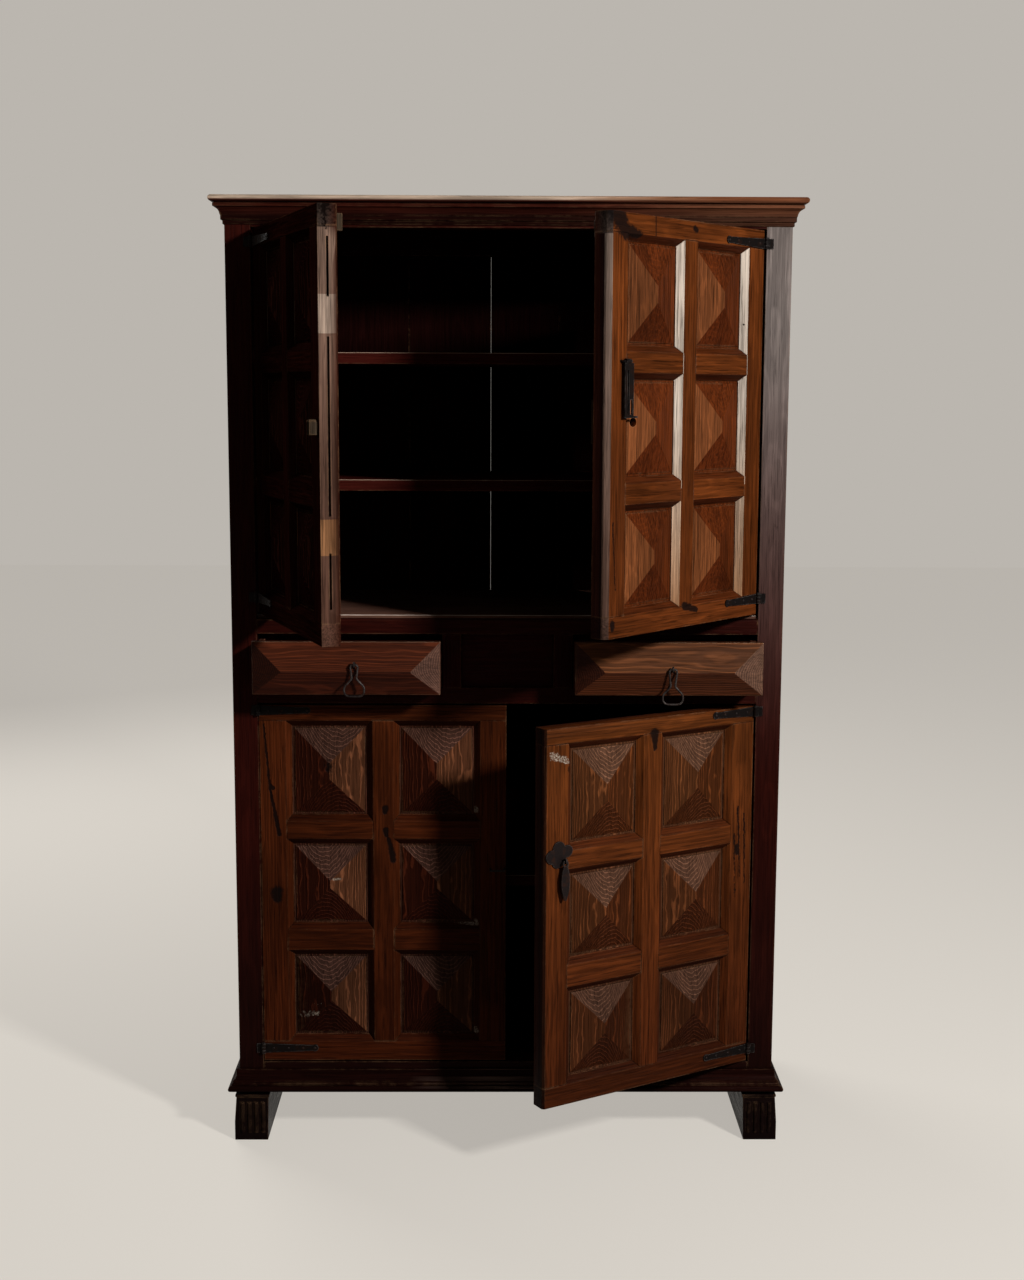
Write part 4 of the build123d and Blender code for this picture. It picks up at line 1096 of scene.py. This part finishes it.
def nail_tree():
    """Nail heads: a low dome on every point, turned to face out, no two quite the same size."""
    tree = bpy.data.node_groups.new("nail_heads", "GeometryNodeTree")
    tree.interface.new_socket("Geometry", in_out="INPUT", socket_type="NodeSocketGeometry")
    for label, kind, value in (
        ("Head Radius", "Float", 0.0026),
        ("Head Height", "Float", 0.0017),
        ("Unevenness", "Float", 0.18),
        ("Seed", "Int", 7),
    ):
        socket = tree.interface.new_socket(label, in_out="INPUT", socket_type=f"NodeSocket{kind}")
        socket.default_value = value
    tree.interface.new_socket("Iron", in_out="INPUT", socket_type="NodeSocketMaterial")
    tree.interface.new_socket("Geometry", in_out="OUTPUT", socket_type="NodeSocketGeometry")
    board = Board(tree)
    given = tree.nodes.new("NodeGroupInput").outputs
    leave = tree.nodes.new("NodeGroupOutput")
    ball = board.add("GeometryNodeMeshUVSphere", {"Segments": 12, "Rings": 8, "Radius": 1.0})
    size = board.add("ShaderNodeCombineXYZ", {"X": given["Head Radius"], "Y": given["Head Radius"]})
    board.feed(size.inputs["Z"], given["Head Height"])
    dome = board.add(
        "GeometryNodeTransform", {"Geometry": ball.outputs["Mesh"], "Scale": size.outputs[0]}
    )
    facing = board.add(
        "GeometryNodeInputNamedAttribute", {"Name": "facing"}, data_type="FLOAT_VECTOR"
    )
    turn = board.add("FunctionNodeAlignRotationToVector", {"Vector": facing.outputs[0]}, axis="Z")
    least = board.math("SUBTRACT", 1.0, given["Unevenness"])
    uneven = board.add("FunctionNodeRandomValue", data_type="FLOAT")
    board.feed(uneven.inputs[2], least)
    board.feed(uneven.inputs[3], 1.0)
    board.feed(uneven.inputs["Seed"], given["Seed"])
    spread = board.add(
        "GeometryNodeInstanceOnPoints",
        {
            "Points": given["Geometry"],
            "Instance": dome.outputs[0],
            "Rotation": turn.outputs[0],
            "Scale": uneven.outputs[1],
        },
    )
    whole = board.add("GeometryNodeRealizeInstances", {"Geometry": spread.outputs[0]})
    coated = board.add(
        "GeometryNodeSetMaterial", {"Geometry": whole.outputs[0], "Material": given["Iron"]}
    )
    board.feed(leave.inputs[0], coated.outputs[0])
    return tree


NAILS = nail_tree()


def drive_nails(name, body, places, facing, radius=0.0026, seed=7):
    """One mesh of nail heads at the given places, all facing one way."""
    mesh = bpy.data.meshes.new(name)
    mesh.from_pydata([tuple(place) for place in places], [], [])
    layer = mesh.attributes.new("facing", "FLOAT_VECTOR", "POINT")
    for entry in layer.data:
        entry.vector = facing
    draft = bpy.data.objects.new("draft", mesh)
    bpy.context.scene.collection.objects.link(draft)
    modifier = draft.modifiers.new("nails", "NODES")
    modifier.node_group = NAILS
    values = {"Head Radius": radius, "Seed": seed, "Iron": MATERIALS["forged_iron"]}
    for socket in NAILS.interface.items_tree:
        if socket.in_out == "INPUT" and socket.name in values:
            modifier[socket.identifier] = values[socket.name]
    made = evaluated_mesh(draft)
    made.shade_smooth()
    place_piece(made, name, body, "forged_iron")


STRAP_PROUD = 0.0024  # the nail heads sit this far in front of the doors' faces


def strap_spans(name):
    """How far each strap of a door reaches from the hinge line, and at what height."""
    bm = merged_copy(f"{name}_door_straps")
    spans = []
    for members in timbers(bm):
        places = [DOORS[name].local(vert.co) for vert in members]
        heights = [z for _, z, _ in places]
        spans.append((max(s for s, _, _ in places), (min(heights) + max(heights)) / 2))
    bm.free()
    return spans


for name, door in DOORS.items():
    spots = []
    for reach, level in strap_spans(name):
        for s in (0.02, reach * 0.45, reach * 0.72, reach - 0.007):
            spots.append(door.point(s, level, STRAP_PROUD))
    drive_nails(f"{name}_strap_nails", door.body, spots, door.out, seed=len(name))

# =============================================================================================
# Camera, lights and floor
# =============================================================================================

CAMERA_AT = Vector((-0.0267, -3.4557, 1.5292))
CAMERA_PITCH, CAMERA_YAW, CAMERA_ROLL = (math.radians(a) for a in (8.06, 0.59, 0.22))
IMAGE_HEIGHT = 1280
FOCAL_PIXELS = 1753.4
SENSOR = 24.0


def make_camera():
    data = bpy.data.cameras.new("camera")
    data.sensor_fit = "VERTICAL"
    data.sensor_height = SENSOR
    data.lens = FOCAL_PIXELS * SENSOR / IMAGE_HEIGHT
    camera = bpy.data.objects.new("camera", data)
    bpy.context.scene.collection.objects.link(camera)
    ahead = Vector(
        (
            math.sin(CAMERA_YAW) * math.cos(CAMERA_PITCH),
            math.cos(CAMERA_YAW) * math.cos(CAMERA_PITCH),
            -math.sin(CAMERA_PITCH),
        )
    )
    level = Vector((math.cos(CAMERA_YAW), -math.sin(CAMERA_YAW), 0))
    above = level.cross(ahead)
    turned = level * math.cos(CAMERA_ROLL) + above * math.sin(CAMERA_ROLL)
    above = above * math.cos(CAMERA_ROLL) - level * math.sin(CAMERA_ROLL)
    camera.matrix_world = Matrix.Translation(CAMERA_AT) @ Matrix(
        (turned, above, -ahead)
    ).transposed().to_4x4()
    bpy.context.scene.camera = camera


def area_light(name, azimuth, elevation, distance, width, height, power, target=(0, 0, 1.0)):
    """A soft box, aimed at the cupboard from a direction measured from the front."""
    data = bpy.data.lights.new(name, "AREA")
    data.shape = "RECTANGLE"
    data.size, data.size_y = width, height
    data.energy = power
    a, e = math.radians(azimuth), math.radians(elevation)
    away = Vector((math.sin(a) * math.cos(e), -math.cos(a) * math.cos(e), math.sin(e)))
    lamp = bpy.data.objects.new(name, data)
    bpy.context.scene.collection.objects.link(lamp)
    lamp.location = Vector(target) + away * distance
    lamp.rotation_euler = away.to_track_quat("Z", "Y").to_euler()


def make_floor():
    bm = bmesh.new()
    bmesh.ops.create_grid(bm, x_segments=1, y_segments=1, size=12.0)
    mesh = bpy.data.meshes.new("floor")
    bm.to_mesh(mesh)
    bm.free()
    floor = bpy.data.objects.new("floor", mesh)
    bpy.context.scene.collection.objects.link(floor)
    material, board, shader = new_material("floor_paint")
    seen = seen_directly(board)
    paint_colour = board.mix(seen, linear(96, 90, 84), linear(142, 138, 131))
    board.feed(shader.inputs["Base Color"], paint_colour)
    glow = board.mix(seen, (0, 0, 0, 1), linear(182, 177, 170))
    board.feed(shader.inputs["Emission Color"], glow)
    shader.inputs["Emission Strength"].default_value = 1.0
    shader.inputs["Roughness"].default_value = 0.9
    shader.inputs["Specular IOR Level"].default_value = 0.0
    mesh.materials.append(material)


def seen_directly(board):
    """One for rays that show the surroundings themselves, in the open or in something shiny."""
    path = board.add("ShaderNodeLightPath").outputs
    shown = board.math("MAXIMUM", path["Is Camera Ray"], path["Is Glossy Ray"])
    return board.math("MAXIMUM", shown, path["Is Transmission Ray"])


def make_world():
    world = bpy.data.worlds.new("world")
    world.use_nodes = True
    board = Board(world.node_tree)
    back = world.node_tree.nodes["Background"]
    colour = board.mix(seen_directly(board), linear(62, 60, 58), linear(187, 182, 175))
    board.feed(back.inputs["Color"], colour)
    back.inputs["Strength"].default_value = 1.0
    bpy.context.scene.world = world


make_camera()
make_floor()
make_world()
area_light("key", 40, 25, 4.2, 0.4, 0.4, 200)
area_light("side_panel_light", 16, 4, 4.4, 0.8, 2.2, 5)
area_light("back_light", 215, 28, 4.4, 2.4, 2.4, 120)
bpy.context.scene.view_settings.view_transform = "Standard"

bpy.context.view_layer.update()
